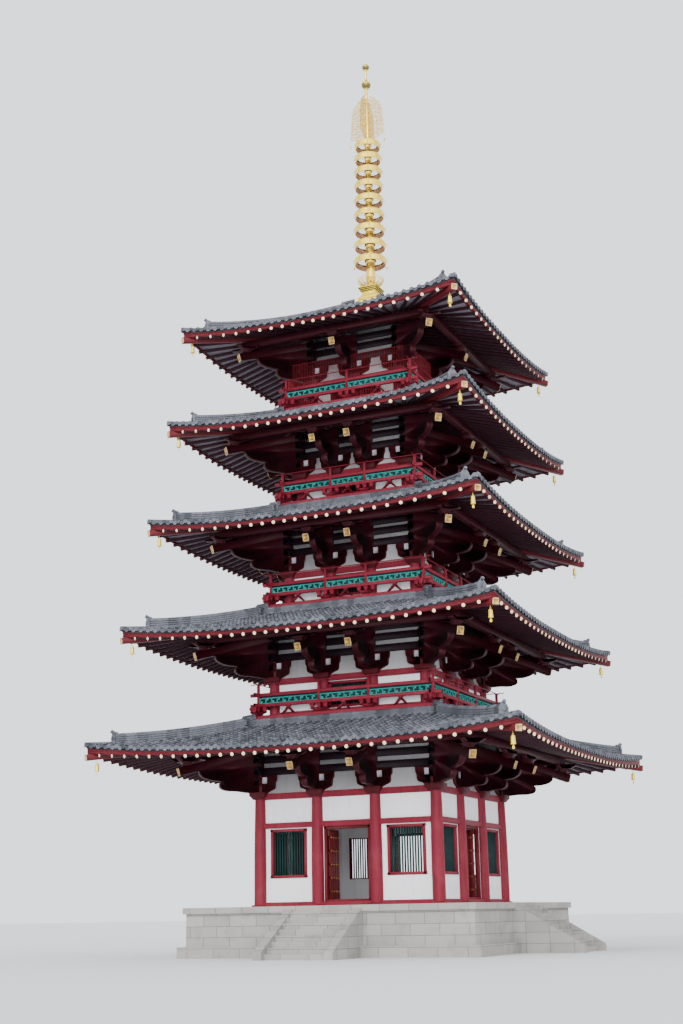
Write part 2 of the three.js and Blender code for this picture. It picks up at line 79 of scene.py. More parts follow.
ROOF_DROP = 0.33             # top of a lower roof, below the floor that stands on it
TILE_PITCH = 0.32            # from one row of cover tiles to the next
TILE_COURSE = 0.3            # from one course of tiles to the next, up the slope
COVER = 0.075                # radius of the rounded cover tiles
TILE_SEAT = 0.03             # their axis, below the roof's own surface
LIP = 0.105                  # how far the eave tiles stand out past the fascia
RIDGE_LAYER = 0.08
DOOR_TOP = 4.7
UP = np.array([0.0, 0.0, 1.0])
QUARTERS = np.arange(4) * math.pi / 2
SIDE = np.linspace(-1, 1, 33)[:-1]                 # stations along one side of a curved eave


# Shapes: arrays of points with faces between them

class Shape:
    """Points, and arrays of corner numbers: one array of faces for each number of corners."""

    def __init__(self, points, *faces):
        self.points = np.asarray(points, float).reshape(-1, 3)
        self.faces = [np.asarray(f, int) for f in faces if len(f)]


def xyz(x, y, z):
    """Points from three coordinates, each a number or an array."""
    return np.stack(np.broadcast_arrays(x, y, z), -1).astype(float)


def unit(vectors):
    """The same directions with a length of one."""
    return vectors / np.maximum(np.linalg.norm(vectors, axis=-1, keepdims=True), 1e-9)


def join(*shapes):
    """Several shapes as one: the corner numbers of each are raised by the points before it."""
    starts = np.cumsum([0] + [len(s.points) for s in shapes[:-1]])
    faces = {}
    for shape, start in zip(shapes, starts):
        for face in shape.faces:
            faces.setdefault(face.shape[1], []).append(face + start)
    return Shape(np.concatenate([s.points for s in shapes]), *(np.concatenate(f) for f in faces.values()))


def outward(shape):
    """Turns all faces round if the volume summed over them comes out negative."""
    volume = 0.0
    for face in shape.faces:
        p = shape.points[face]
        volume += (p[:, :1] * np.cross(p[:, 1:-1], p[:, 2:])).sum()
    return shape if volume > 0 else Shape(shape.points, *(face[:, ::-1] for face in shape.faces))


def many(face, copies, points_each):
    """The faces of one copy, repeated with the corner numbers of each next copy."""
    return (face[None] + points_each * np.arange(copies)[:, None, None]).reshape(-1, face.shape[1])


def repeated(shape, places, headings=0.0, scale=1.0):
    """Copies of a shape turned about the vertical by their headings, scaled and set at their places."""
    places = np.atleast_2d(np.asarray(places, float))
    angle = np.broadcast_to(headings, len(places))
    cosine, sine, zero, one = np.cos(angle), np.sin(angle), 0 * angle, 1 + 0 * angle
    rows = [cosine, sine, zero, -sine, cosine, zero, zero, zero, one]
    turns = np.stack(rows, -1).reshape(-1, 3, 3)
    points = np.einsum("nj,mji->mni", shape.points, turns) * scale + places[:, None]
    return Shape(points, *(many(f, len(places), len(shape.points)) for f in shape.faces))


def four(*shapes):
    """The same shapes on all four sides."""
    return repeated(join(*shapes), np.zeros((4, 3)), QUARTERS)


def grid_faces(number, round_u=False, round_v=False):
    """Four-cornered faces between the neighbours of a grid of point numbers."""
    if round_u:
        number = np.concatenate([number, number[:1]], 0)
    if round_v:
        number = np.concatenate([number, number[:, :1]], 1)
    corners = [number[:-1, :-1], number[1:, :-1], number[1:, 1:], number[:-1, 1:]]
    return np.stack(corners, -1).reshape(-1, 4)


def lofts(points):
    """Closed solids through rings of points, an array (solids, rings, points round, 3), with flat ends.
    The ends are wound the other way from the sides, so either they or the sides face inwards."""
    copies, rings, around = points.shape[:3]
    number = np.arange(rings * around).reshape(rings, around)
    ends = np.stack([number[0][::-1], number[-1]])
    one = outward(Shape(points[0], grid_faces(number, round_v=True), ends))
    return Shape(points, *(many(f, copies, rings * around) for f in one.faces))


def hoop(points):
    """A closed surface through rings of points, an array (rings, points round, 3), whose last ring
    meets the first."""
    number = np.arange(points[..., 0].size).reshape(points.shape[:2])
    return outward(Shape(points, grid_faces(number, True, True)))


def inset(outline, by):
    """A closed outline drawn in: each point moves along the mean of its two edges' normals."""
    after = np.roll(outline, -1, 0)
    edge = after - outline
    normal = unit(np.stack([edge[:, 1], -edge[:, 0]], -1))
    mean = unit(normal + np.roll(normal, 1, 0))
    turn = np.sign((outline[:, 0] * after[:, 1] - outline[:, 1] * after[:, 0]).sum())
    return outline - mean * by * turn


def smooth(outline, rounds=2):
    """Corner cutting: each edge of a closed outline gives two points, a quarter in from its ends."""
    outline = np.asarray(outline, float)
    for _ in range(rounds):
        after = np.roll(outline, -1, 0)
        outline = np.stack([0.75 * outline + 0.25 * after, 0.25 * outline + 0.75 * after], 1).reshape(-1, 2)
    return outline


def mirrored(outline):
    """An outline of (across, up) from points on its right half, given from the bottom up."""
    right = np.asarray(outline, float)
    return np.concatenate([right * (-1, 1), right[::-1]])


def plate(outline, thick, origin=(0, 0, 0), heading=0.0, edge=0.012):
    """An outline of (along, up) stood in a vertical plane that runs along the heading: four copies of
    it across the thickness, the outer two drawn in by the width of the chamfer."""
    outline = np.asarray(outline, float)
    small = inset(outline, edge)
    along = np.array([math.cos(heading), math.sin(heading), 0.0])
    across = np.array([-along[1], along[0], 0.0])
    half = thick / 2
    rings = [
        np.asarray(origin) + o[:, :1] * along + o[:, 1:] * UP + across * t
        for o, t in ((small, -half), (outline, -half + edge), (outline, half - edge), (small, half))
    ]
    return lofts(np.stack(rings)[None])


def rectangle(width, height, chamfer=0.012):
    """Section of a timber: a rectangle about the origin with its four corners cut."""
    w, h, c = width / 2, height / 2, chamfer
    right = [(w - c, -h), (w, -h + c), (w, h - c), (w - c, h)]
    return np.array([(-w + c, -h), *right, (-w + c, h), (-w, h - c), (-w, -h + c)])


def circle(radius, sides):
    """Section of a pole: points round a circle."""
    angle = (np.arange(sides) + 0.5) / sides * 2 * math.pi
    return radius * np.stack([np.cos(angle), np.sin(angle)], -1)


def timbers(starts, ends, section, chamfer=0.012):
    """Straight timbers between pairs of points: the section carried from start to end, and drawn in
    over the chamfer's length at both ends."""
    starts, ends = np.atleast_2d(np.asarray(starts, float)), np.atleast_2d(np.asarray(ends, float))
    length = np.linalg.norm(ends - starts, axis=1, keepdims=True)
    along = (ends - starts) / length
    side = unit(np.cross(along, np.where(np.abs(along[:, 2:]) > 0.9, (0.0, 1.0, 0.0), UP)))
    above = np.cross(side, along)
    small = section * (1 - chamfer / np.abs(section).max(0))
    stations = [(0, small), (chamfer, section), (length - chamfer, section), (length, small)]
    rings = [
        (starts + along * at)[:, None] + side[:, None] * s[:, :1] + above[:, None] * s[:, 1:]
        for at, s in (stations if chamfer else stations[1:3])
    ]
    return lofts(np.stack(rings, 1))


def rods(starts, ends, radius, sides=6):
    """Straight round rods between pairs of points."""
    return timbers(starts, ends, circle(radius, sides), 0.0)


def box(start, end, width, height, chamfer=0.012):
    """A straight timber of rectangular section with plain ends."""
    return timbers(start, end, rectangle(width, height, chamfer), 0.0)


def ring(profile, stations=(-1.0,), lift=None):
    """A closed profile of (half width, height) carried round the square plan, mitred at its corners.
    stations are the places along a side, from -1 at one corner towards the next."""
    half, up = np.asarray(profile, float).T
    x = np.asarray(stations, float)[:, None] * half
    z = up + (lift(x, half) if lift else 0 * x)
    sides = repeated(Shape(xyz(x, -half, z)), np.zeros((4, 3)), QUARTERS)
    return hoop(sides.points.reshape(-1, len(half), 3))


def ring_beam(inner, outer, z0, z1, chamfer=0.012):
    """A square ring of timber of rectangular section, between two half widths and two heights."""
    return ring(rectangle(outer - inner, z1 - z0, chamfer) + ((inner + outer) / 2, (z0 + z1) / 2))


def turned_points(profile, sides, flutes=0, depth=0.0):
    """(radius, height) pairs turned round the vertical axis, an array (pairs, points round, 3). Flutes
    make the radius swell and sink by the cosine of the angle."""
    radius, z = np.asarray(profile, float).T[..., None]
    angle = np.arange(sides) / sides * 2 * math.pi
    radius = radius * (1 + depth * np.cos(flutes * angle))
    return xyz(radius * np.cos(angle), radius * np.sin(angle), z)


def turned_piece(*profile):
    """A closed piece round the vertical axis, with flat ends."""
    return lofts(turned_points(*profile)[None])


def turned_hoop(section, sides):
    """A closed section of (radius, height) turned through the full circle."""
    return hoop(turned_points(section, sides))


def rosette(*profile):
    """A turned piece laid over, so that its axis points forwards out of a front wall."""
    made = turned_piece(*profile)
    return outward(Shape(made.points[:, [0, 2, 1]] * (1, -1, 1), *made.faces))


def square_piece(profile):
    """A closed piece of square plan: (half width, height) pairs, each a square ring with cut corners."""
    corner = rectangle(2, 2, 0.015)
    return lofts(np.stack([xyz(*(corner * half).T, z) for half, z in profile])[None])


def tube(path, radius, sides=8, closed=False):
    """A round section carried along a path: side and up follow from the tangent at each point."""
    path = np.asarray(path, float)
    tangent = unit(np.roll(path, -1, 0) - np.roll(path, 1, 0) if closed else np.gradient(path, axis=0))
    normal = np.cross(path[1] - path[0], path[len(path) // 2] - path[0])
    side = unit(np.cross(tangent, unit(normal) if np.linalg.norm(normal) > 1e-9 else (0.0, 1.0, 0.0)))
    above = np.cross(side, tangent)
    section = circle(1.0, sides)
    reach = np.broadcast_to(radius, len(path))[:, None, None]
    rings = path[:, None] + reach * (side[:, None] * section[:, :1] + above[:, None] * section[:, 1:])
    return hoop(rings) if closed else lofts(rings[None])


def add(name, data):
    """A new object in the scene."""
    made = bpy.data.objects.new(name, data)
    bpy.context.scene.collection.objects.link(made)
    return made


def piece(name, shape, material, slot="vermilion_timber", replaces=(), soft=False):
    """Puts a shape into a mesh object that rides on the building, with its finish."""
    used = np.unique(np.concatenate([f.ravel() for f in shape.faces]))
    number = np.zeros(len(shape.points), int)
    number[used] = np.arange(len(used))
    mesh = bpy.data.meshes.new(name)
    corners = np.concatenate([number[f].ravel() for f in shape.faces])
    sizes = np.concatenate([np.full(len(f), f.shape[1]) for f in shape.faces])
    mesh.vertices.add(len(used))
    mesh.vertices.foreach_set("co", shape.points[used].ravel())
    mesh.loops.add(len(corners))
    mesh.loops.foreach_set("vertex_index", corners)
    mesh.polygons.add(len(sizes))
    mesh.polygons.foreach_set("loop_start", np.cumsum(sizes) - sizes)
    mesh.update(calc_edges=True)
    mesh.validate()
    if soft:
        mesh.shade_smooth()
        mesh.set_sharp_from_angle(angle=math.radians(35))
    mesh.materials.append(material)
    made = add(name, mesh)
    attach(made, "root")
    if replaces:
        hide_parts(*replaces)


# Finishes

class Value:
    """A number socket used in sums: each operation in the table below adds one Math node."""

    def __init__(self, finish, socket):
        self.finish, self.socket = finish, socket

    def between(self, low, high):
        """0 below low, 1 above high, and smooth between them."""
        settings = {"interpolation_type": "SMOOTHSTEP"}
        return self.finish.number("ShaderNodeMapRange", settings, {0: self, 1: low, 2: high})


def math_node(operation):
    """The method of a Value that adds a Math node of one kind."""
    def method(self, *others):
        inputs = {0: self, **{place + 1: other for place, other in enumerate(others)}}
        return self.finish.number("ShaderNodeMath", {"operation": operation}, inputs)
    return method


OPERATIONS = {
    "__add__": "ADD", "__radd__": "ADD", "__sub__": "SUBTRACT", "__mul__": "MULTIPLY",
    "__truediv__": "DIVIDE", "__gt__": "GREATER_THAN", "abs": "ABSOLUTE", "floor": "FLOOR",
    "part": "FRACT", "max": "MAXIMUM", "min": "MINIMUM",
}
for name, operation in OPERATIONS.items():
    setattr(Value, name, math_node(operation))


class Finish:
    """A procedural material, built round one Principled shader."""

    def __init__(self, name, roughness=0.6, metallic=0.0, shine=0.5):
        self.material = bpy.data.materials.new(name)
        self.material.use_nodes = True
        self.tree = self.material.node_tree
        self.tree.nodes.clear()
        constants = {"Roughness": roughness, "Metallic": metallic, "Specular IOR Level": shine}
        self.shader = self.node("ShaderNodeBsdfPrincipled", {}, constants)
        self.node("ShaderNodeOutputMaterial", {}, {"Surface": self.shader.outputs[0]})
        self.place = self.node("ShaderNodeTexCoord", {}, {}).outputs["Object"]
        split = self.node("ShaderNodeSeparateXYZ", {}, {0: self.place})
        self.x, self.y, self.z = (Value(self, out) for out in split.outputs)

    def node(self, kind, settings, inputs):
        """Any node: its settings first, then the values or links of its sockets."""
        made = self.tree.nodes.new(kind)
        for name, setting in settings.items():
            setattr(made, name, setting)
        for name, given in inputs.items():
            given = given.socket if isinstance(given, Value) else given
            if isinstance(given, bpy.types.NodeSocket):
                self.tree.links.new(given, made.inputs[name])
            else:
                made.inputs[name].default_value = given
        return made

    def number(self, kind, settings, inputs):
        return Value(self, self.node(kind, settings, inputs).outputs[0])

    def noise(self, scale, detail=3.0, roughness=0.5, stretch=(1, 1, 1)):
        """Soft noise from 0 to 1, drawn out along the axes where stretch is small."""
        spot = self.node("ShaderNodeMapping", {}, {"Vector": self.place, "Scale": stretch}).outputs[0]
        inputs = {"Vector": spot, "Scale": scale, "Detail": detail, "Roughness": roughness}
        return self.number("ShaderNodeTexNoise", {}, inputs)

    def chance(self, x, y=0.0, z=0.0):
        """One random number for each point of whole numbers."""
        point = self.node("ShaderNodeCombineXYZ", {}, {0: x, 1: y, 2: z}).outputs[0]
        return self.number("ShaderNodeTexWhiteNoise", {}, {"Vector": point})

    def mix(self, factor, first, second):
        """From the first colour to the second as the factor goes from 0 to 1."""
        colours = [(*c, 1.0) if isinstance(c, tuple) else c for c in (first, second)]
        inputs = {0: factor, 6: colours[0], 7: colours[1]}
        return self.node("ShaderNodeMix", {"data_type": "RGBA"}, inputs).outputs[2]

    def set(self, name, given):
        """Links a colour or number to a socket of the shader."""
        self.tree.links.new(given.socket if isinstance(given, Value) else given, self.shader.inputs[name])

    def bump(self, height, distance, strength=0.6):
        inputs = {"Height": height, "Distance": distance, "Strength": strength}
        self.set("Normal", self.node("ShaderNodeBump", {}, inputs).outputs[0])

    def along(self):
        """Distance along a side, distance outwards, the larger of the two, and which of x and y it is."""
        side = self.x.abs() > self.y.abs()
        return self.x + (self.y - self.x) * side, self.x.abs().max(self.y.abs()), side


def painted_timber(name, base, worn, dark):
    """Painted wood: faint grain under the paint, faded patches, and dust and grime in streaks."""
    f = Finish(name, roughness=0.55, shine=0.2)
    patches = f.noise(0.9, 4.0, 0.6)
    fade = patches.between(0.46, 0.72) * 0.55
    streaks = f.noise(9.0, 3.0, 0.6, (1, 1, 0.12)).between(0.45, 0.8) * 0.5
    grain = f.noise(38.0, 2.0, 0.5, (0.25, 0.25, 1))
    f.set("Base Color", f.mix(streaks, f.mix(fade, base, worn), dark))
    f.set("Roughness", 0.42 + patches * 0.3)
    f.bump(grain * 0.6 + f.noise(6.0, 2.0) * 0.4, 0.006, 0.5)
    return f.material


def boards(name, base, gap, width):
    """Boards side by side: each strip of the given width has its own tone and a dark line beside it."""
    f = Finish(name, roughness=0.75)
    along, _, side = f.along()
    place = along * (1 / width)
    tone = f.chance(place.floor(), side) * 0.35
    line = (place.part() - 0.5).abs().between(0.455, 0.49)
    dirt = f.noise(2.2, 4.0, 0.65).between(0.42, 0.8) * 0.45
    colour = f.mix(tone + dirt, base, gap)
    f.set("Base Color", f.mix(line * 0.85, colour, tuple(c * 0.35 for c in gap)))
    f.bump(f.noise(30.0, 2.0, 0.5, (0.3, 0.3, 1)) * 0.4 - line, 0.008, 0.6)
    return f.material


def lime_plaster(name, white, grey):
    """White plaster: trowel marks, faint rain streaks and patches of grey dust."""
    f = Finish(name, roughness=0.9, shine=0.2)
    cloud = f.noise(1.4, 4.0, 0.6).between(0.4, 0.75) * 0.35
    streak = f.noise(7.0, 3.0, 0.55, (1, 1, 0.08)).between(0.5, 0.85) * 0.4
    f.set("Base Color", f.mix(streak, f.mix(cloud, white, grey), tuple(0.75 * c for c in grey)))
    f.bump(f.noise(14.0, 4.0, 0.6), 0.006, 0.35)
    return f.material


def roof_tile(name):
    """Fired grey tiles: each tile has its own tone, with blotches of lichen and soot and a dull gloss."""
    f = Finish(name, roughness=0.55)
    along, out, side = f.along()
    tone = f.chance((along / TILE_PITCH + 0.5).floor(), (out / TILE_COURSE).floor(), side)
    blotch = f.noise(3.0, 5.0, 0.7).between(0.45, 0.75)
    speck = f.noise(26.0, 3.0, 0.6).between(0.5, 0.72)
    colour = f.mix(tone * 0.9, (0.026, 0.03, 0.042), (0.115, 0.122, 0.15))
    colour = f.mix(blotch * 0.5, colour, (0.2, 0.195, 0.215))
    f.set("Base Color", f.mix(speck * 0.35, colour, (0.05, 0.055, 0.06)))
    f.set("Roughness", 0.42 + tone * 0.3)
    f.bump(f.noise(30.0, 3.0), 0.004, 0.5)
    return f.material


def gilding(name, bright, dull, roughness, metallic=1.0, shade_bands=()):
    """Gilded metal: bright leaf, browner where it has worn, and rougher there. The last argument lists
    heights (from, to) between which the metal is painted dark, as painted shade on its undersides."""
    f = Finish(name, roughness, metallic)
    worn = f.noise(3.2, 4.0, 0.65).between(0.42, 0.74)
    fine = f.noise(40.0, 2.0).between(0.45, 0.7) * 0.3
    colour = f.mix((worn * 0.7 + fine).min(1.0), bright, dull)
    # painted shade: between each pair of heights the colour is mixed towards a dark brown
    for low, high in shade_bands:
        dark = f.z.between(low, low + 0.03) * f.z.between(high + 0.06, high) * 0.85
        colour = f.mix(dark, colour, (0.12, 0.1, 0.05))
    f.set("Base Color", colour)
    f.set("Roughness", worn * 0.22 + roughness)
    f.bump(f.noise(18.0, 3.0), 0.003, 0.35)
    return f.material


def dressed_stone(name, course_height=0.39, block=1.1, slab=0.9):
    """Granite blocks in level courses: joints at each course's height, at each block's length along a
    course, with every course shifted by half a block, and at each slab outwards in the paving."""
    f = Finish(name, roughness=0.8)
    along, out, side = f.along()
    course = (f.z + 0.05) / course_height
    row = (out + 0.15) / slab
    run = along / block + ((course.floor() + row.floor()) * 0.5).part() + side * 0.25
    edges = [
        (way.part() - 0.5).abs().between(low, high)
        for way, low, high in ((course, 0.475, 0.49), (run, 0.488, 0.495), (row, 0.487, 0.494))
    ]
    joint = edges[0].max(edges[1]).max(edges[2])
    tone = f.chance(run.floor(), course.floor(), row.floor() + side * 0.5)
    speck = f.noise(70.0, 3.0, 0.7).between(0.42, 0.62)
    stain = f.noise(1.6, 5.0, 0.65).between(0.45, 0.8)
    colour = f.mix(tone * 0.7, (0.35, 0.335, 0.305), (0.24, 0.23, 0.215))
    colour = f.mix(speck * 0.4, colour, (0.15, 0.15, 0.147))
    colour = f.mix(stain * 0.5, colour, (0.13, 0.125, 0.11))
    f.set("Base Color", f.mix(joint * 0.8, colour, (0.09, 0.085, 0.08)))
    f.bump(f.noise(24.0, 4.0) * 0.4 - joint, 0.012, 0.7)
    return f.material


def green_paint(name, base, dull):
    """Green mineral paint, chalky and a little patchy."""
    f = Finish(name, roughness=0.7, shine=0.2)
    patch = f.noise(5.0, 4.0, 0.6).between(0.4, 0.75)
    f.set("Base Color", f.mix(patch * 0.6, base, dull))
    f.bump(f.noise(40.0, 2.0), 0.003, 0.4)
    return f.material


# Painted timber. The vermilion row is the paint itself. The fascia, bracket, arm, shaded and rafter rows are
# darker copies of the same paint: painted shade on the eaves' faces and on the timbers under the eaves. The
# door row is darkened as well, as painted shade on the top storey's window bars, which share it.
VERMILION, FASCIA_SHADE_RED, BRACKET_SHADE_RED, SHADED_RED, STACK_SHADE_RED, RAFTER_SHADE_RED, ROD_RED, DOOR_RED = (
    painted_timber(f"{name}_paint", *colours) for name, *colours in (
        ("vermilion", (0.18, 0.01, 0.024), (0.235, 0.031, 0.049), (0.054, 0.004, 0.01)),
        ("fascia", (0.09, 0.0045, 0.009), (0.12, 0.012, 0.019), (0.032, 0.002, 0.006)),
        ("bracket", (0.06, 0.004, 0.008), (0.085, 0.011, 0.018), (0.018, 0.002, 0.005)),
        ("arm", (0.036, 0.002, 0.006), (0.052, 0.006, 0.012), (0.01, 0.001, 0.003)),
        ("shaded", (0.012, 0.004, 0.008), (0.02, 0.008, 0.013), (0.005, 0.002, 0.005)),
        ("rafter", (0.03, 0.008, 0.014), (0.045, 0.015, 0.022), (0.012, 0.005, 0.009)),
        ("rod", (0.55, 0.05, 0.07), (0.6, 0.09, 0.11), (0.3, 0.03, 0.04)),
        ("door", (0.12, 0.009, 0.012), (0.16, 0.022, 0.026), (0.04, 0.004, 0.006)),
    )
)
# Whitewashed boards under the eaves, darkened to grey as painted shade.
UNDERBOARD = boards("shaded_whitewashed_boards", (0.22, 0.19, 0.23), (0.1, 0.083, 0.11), 0.24)
PLASTER = lime_plaster("white_plaster", (0.86, 0.86, 0.89), (0.74, 0.74, 0.77))
# A dimmer copy of the white plaster for the small squares by the brackets: painted shade.
SHADED_BLOCK_WHITE = lime_plaster("shaded_block_whitewash", (0.44, 0.42, 0.46), (0.37, 0.35, 0.39))
TILE = roof_tile("grey_tile")
BALL_UNDERSIDE_SHADE = ((37.88, 38.08), (38.84, 39.0))          # painted shade on the undersides of the finial's two balls
GILT, CAP_GILT, MAST_GILT, PALE_GILT, SHADED_ROSE_BRONZE, PALE_CAP, PLATE_RIM, FLAME_BRONZE, PAINTED_SHADOW_BRONZE = (
    gilding(*row) for row in (
        ("gilded_bronze", (0.86, 0.6, 0.09), (0.62, 0.38, 0.07), 0.25),
        ("gilded_caps", (0.5, 0.29, 0.05), (0.34, 0.18, 0.035), 0.45, 0.6),
        ("mast_gilding", (0.86, 0.63, 0.1), (0.66, 0.44, 0.08), 0.25, 1.0, BALL_UNDERSIDE_SHADE),
        ("pale_gilding", (0.84, 0.64, 0.07), (0.72, 0.5, 0.06), 0.4, 0.5),
        # A darker pinkish copy of the gilding for the rings' linings: painted shade on the bands' inner
        # faces.
        ("shaded_rose_bronze", (0.42, 0.22, 0.15), (0.28, 0.14, 0.1), 0.5, 0.4),
        ("pale_caps", (0.86, 0.68, 0.42), (0.66, 0.48, 0.26), 0.5, 0.1),
        ("plate_rims", (0.6, 0.42, 0.2), (0.42, 0.28, 0.12), 0.5, 0.3),
        ("flame_bronze", (0.72, 0.5, 0.1), (0.46, 0.31, 0.07), 0.4, 0.4),
        # Near-black bronze for the finial's painted shadows: between the cornice's layers, inside the bands
        # and under the flanges.
        ("painted_shadow_bronze", (0.045, 0.027, 0.013), (0.022, 0.013, 0.008), 0.5, 0.4),
    )
)
STONE = dressed_stone("granite")
FRET_GREEN = green_paint("fret_green", (0.012, 0.22, 0.2), (0.05, 0.32, 0.3))
BAR_GREEN = green_paint("bar_green", (0.004, 0.024, 0.023), (0.009, 0.04, 0.038))


# Roofs

def lift(s, extra=0.0):
    """Rise of an eave over its level middle: it grows with the 2.5th power of the way to the corner,
    and fades with the square of the way in to the wall. The tiles rise a little more than the rafters."""
    def rise(along, half):
        outwards = np.maximum(0, (half - s.body) / (s.eave - s.body))
        return (CORNER_LIFT + extra) * np.abs(along / half) ** 2.5 * outwards ** 2
    return rise


def roof_slope(s):
    """Half widths at the eave and at the top of a roof, and its height: a straight slope that sags."""
    edge = s.eave - EDGE_INSET
    edge_level = s.head + RAFTER_END + 0.335
    if s is LAST:
        inner, level, sag = RIDGE_TOP_HALF, RIDGE_TOP_LEVEL, 0.3
    else:
        above = STOREYS[STOREYS.index(s) + 1]
        inner, level, sag = above.rail + 0.09, above.floor - ROOF_DROP, 0.2

    def height(half):
        way = (edge - half) / (edge - inner)
        return edge_level + (level - edge_level) * (way * (1 - sag) + sag * way * np.abs(way))
    return edge, inner, height


def underside(s, half):
    """Height of the rafters' lower side: straight from the eave up to the wall."""
    edge, wall = s.eave - EDGE_INSET, s.body + 0.1
    low = RAFTER_END - RAFTER_RADIUS
    return s.head + low + (edge - half) / (edge - wall) * (RAFTER_FOOT - low)


def tile_columns(edge):
    """Number of cover tiles each side of the middle one, and the spacing that fills the eave."""
    count = int(round((edge + LIP) / TILE_PITCH - 0.5))
    return count, (edge + LIP) / (count + 0.5)


def tile_sheet(s):
    """One side of a roof. Across it a half round and a hollow repeat; up the slope each course has two
    rows of points, its low end one tile's thickness over the course below. A point past the hip is
    drawn back to the hip, and faces wholly past it are left out."""
    edge, inner, height = roof_slope(s)
    count, pitch = tile_columns(edge)
    turn = np.linspace(math.pi, 0, 6)
    x = np.concatenate([[-pitch / 2 + 0.025], COVER * np.cos(turn), [pitch / 2 - 0.025]])
    z = np.concatenate([[-0.036], COVER * np.sin(turn), [-0.036]])
    along = (np.arange(-count, count + 1)[:, None] * pitch + x).reshape(-1, 1)
    profile = np.tile(z, 2 * count + 1)[:, None]
    depth = edge + LIP - inner
    courses = int(round(depth / TILE_COURSE))
    steps = edge + LIP - depth * np.arange(courses + 1) / courses
    half = np.concatenate([steps[:1], np.repeat(steps, 2)[1:-1]])
    over = np.concatenate([[-0.075], np.tile([0.024, 0.0], courses)])
    clamped = np.maximum(half, np.abs(along))
    base = height(clamped) - TILE_SEAT + lift(s, THICKER)(along, clamped)
    up = base + profile + over
    up[:, 0] = np.minimum(up[:, 0], base[:, 0] - 0.03)
    past = np.abs(along) >= half
    kept = ~(past[:-1, :-1] & past[1:, :-1])
    faces = grid_faces(np.arange(clamped.size).reshape(clamped.shape))
    return Shape(xyz(along, -clamped, up), faces[kept.ravel()])


def tile_bed(s):
    """The boards and clay under the tiles: a closed layer from the fascia to the top of the roof."""
    edge, inner, height = roof_slope(s)
    halves = np.array([edge + 0.02, edge - 0.25 * (edge - inner), edge - 0.6 * (edge - inner), inner])
    top = [(h, height(h) - 0.09) for h in halves]
    under = [(h, height(h) - 0.17) for h in halves[::-1]]
    return ring(top + under, SIDE, lift(s, THICKER))


def eave_tiles(s):
    """Round end tiles with a rim and a plain boss under each cover tile, and between them the curved
    lips of the pan tiles."""
    edge, _, height = roof_slope(s)
    count, pitch = tile_columns(edge)
    x = np.arange(-count, count + 1) * pitch
    out = edge + LIP
    z = height(out) - TILE_SEAT + 0.012 + lift(s, THICKER)(x, out)
    disc = [(0.071, -0.02), (0.074, 0.026), (0.06, 0.03), (0.056, 0.016), (0.027, 0.016), (0.02, 0.028)]
    across = np.linspace(-0.5, 0.5, 5)
    sag = 0.04 - 0.16 * across ** 2
    width = np.concatenate([across, across[::-1]]) * (pitch - 0.11)
    lip = np.stack([width, -np.concatenate([sag, sag[::-1] - 0.042])], -1)
    gaps = xyz((x[1:] + x[:-1]) / 2, -out, (z[1:] + z[:-1]) / 2)
    return four(repeated(rosette(disc, 12), xyz(x, -out, z)), repeated(plate(lip, 0.03, edge=0.004), gaps))


def hip_path(s, start, end, count):
    """Points along the hip, over the roof."""
    half = np.linspace(start, end, count)
    return xyz(half, -half, roof_slope(s)[2](half) + lift(s, THICKER)(half, half))


def ridge(path, layers, width=0.15):
    """A hip ridge: flat tiles laid in layers, each a little proud of the joint under it, with a row of
    round cover tiles on top. The section is carried along the path, and the cover swells at each joint."""
    right = [(width + 0.02, -0.16), (width + 0.02, -0.04)]
    for layer in range(layers):
        z = -0.04 + layer * RIDGE_LAYER
        reach = width - 0.006 * layer
        joint = reach - 0.04
        right += [(joint, z + 0.002), (joint, z + 0.028), (reach, z + 0.032), (reach, z + 0.076)]
    top = -0.04 + layers * RIDGE_LAYER
    right += [(0.088 * math.cos(t), top + 0.088 * math.sin(t)) for t in np.linspace(0.1, math.pi / 2, 4)]
    across, up = np.array(right + [(-x, z) for x, z in right[-2::-1]]).T
    swell = 1 + 0.07 * (np.arange(len(path)) % 4 == 0)
    across = across * np.where(up > top, swell[:, None], 1.0)
    way = np.array([1.0, 1.0, 0.0]) / math.sqrt(2)
    return lofts((path[:, None] + way * across[..., None] + UP * up[:, None])[None])


def ridge_end(place, height, half=0.2):
    """End tile of a ridge: a shield with curled shoulders and a raised plain boss, and over it the
    ridge's last round tile, whose tip turns up."""
    right = [(0.95, -0.35), (1.05, 0.0), (0.8, 0.24), (0.95, 0.5), (0.65, 0.74), (0.28, 1.0)]
    outline = smooth(mirrored(right) * (half, height))
    out = np.array([1.0, -1.0, 0.0]) / math.sqrt(2)
    shield = plate(outline, 0.1, place, math.pi / 4, 0.018)
    boss = plate(circle(0.42 * half, 14) + (0, 0.42 * height), 0.05, place + out * 0.06, math.pi / 4, 0.018)
    way = np.linspace(0, 1, 7)[:, None]
    tip = place + UP * (height - 0.06) + out * (-0.16 + 0.26 * way) + UP * (0.1 * way ** 2)
    return join(shield, boss, tube(tip, 0.066, 10))


def hips(s):
    """The four hip ridges in two stages, each stage with its end tile, and the single row of cover
    tiles that runs on to the corner."""
    start, end = roof_slope(s)[1] + 0.02, s.eave - 0.75
    step = end - 0.93 * (end - start)
    low, high = hip_path(s, step - 0.1, end, 60), hip_path(s, start, step, 6)
    row = tube(hip_path(s, end - 0.1, s.eave + 0.02, 12) - UP * 0.012, 0.076, 10)
    ends = ridge_end(low[-1], 0.42), ridge_end(high[-1] + UP * 0.12, 0.24, 0.16)
    return four(ridge(low, 4), ridge(high, 5), row, *ends)


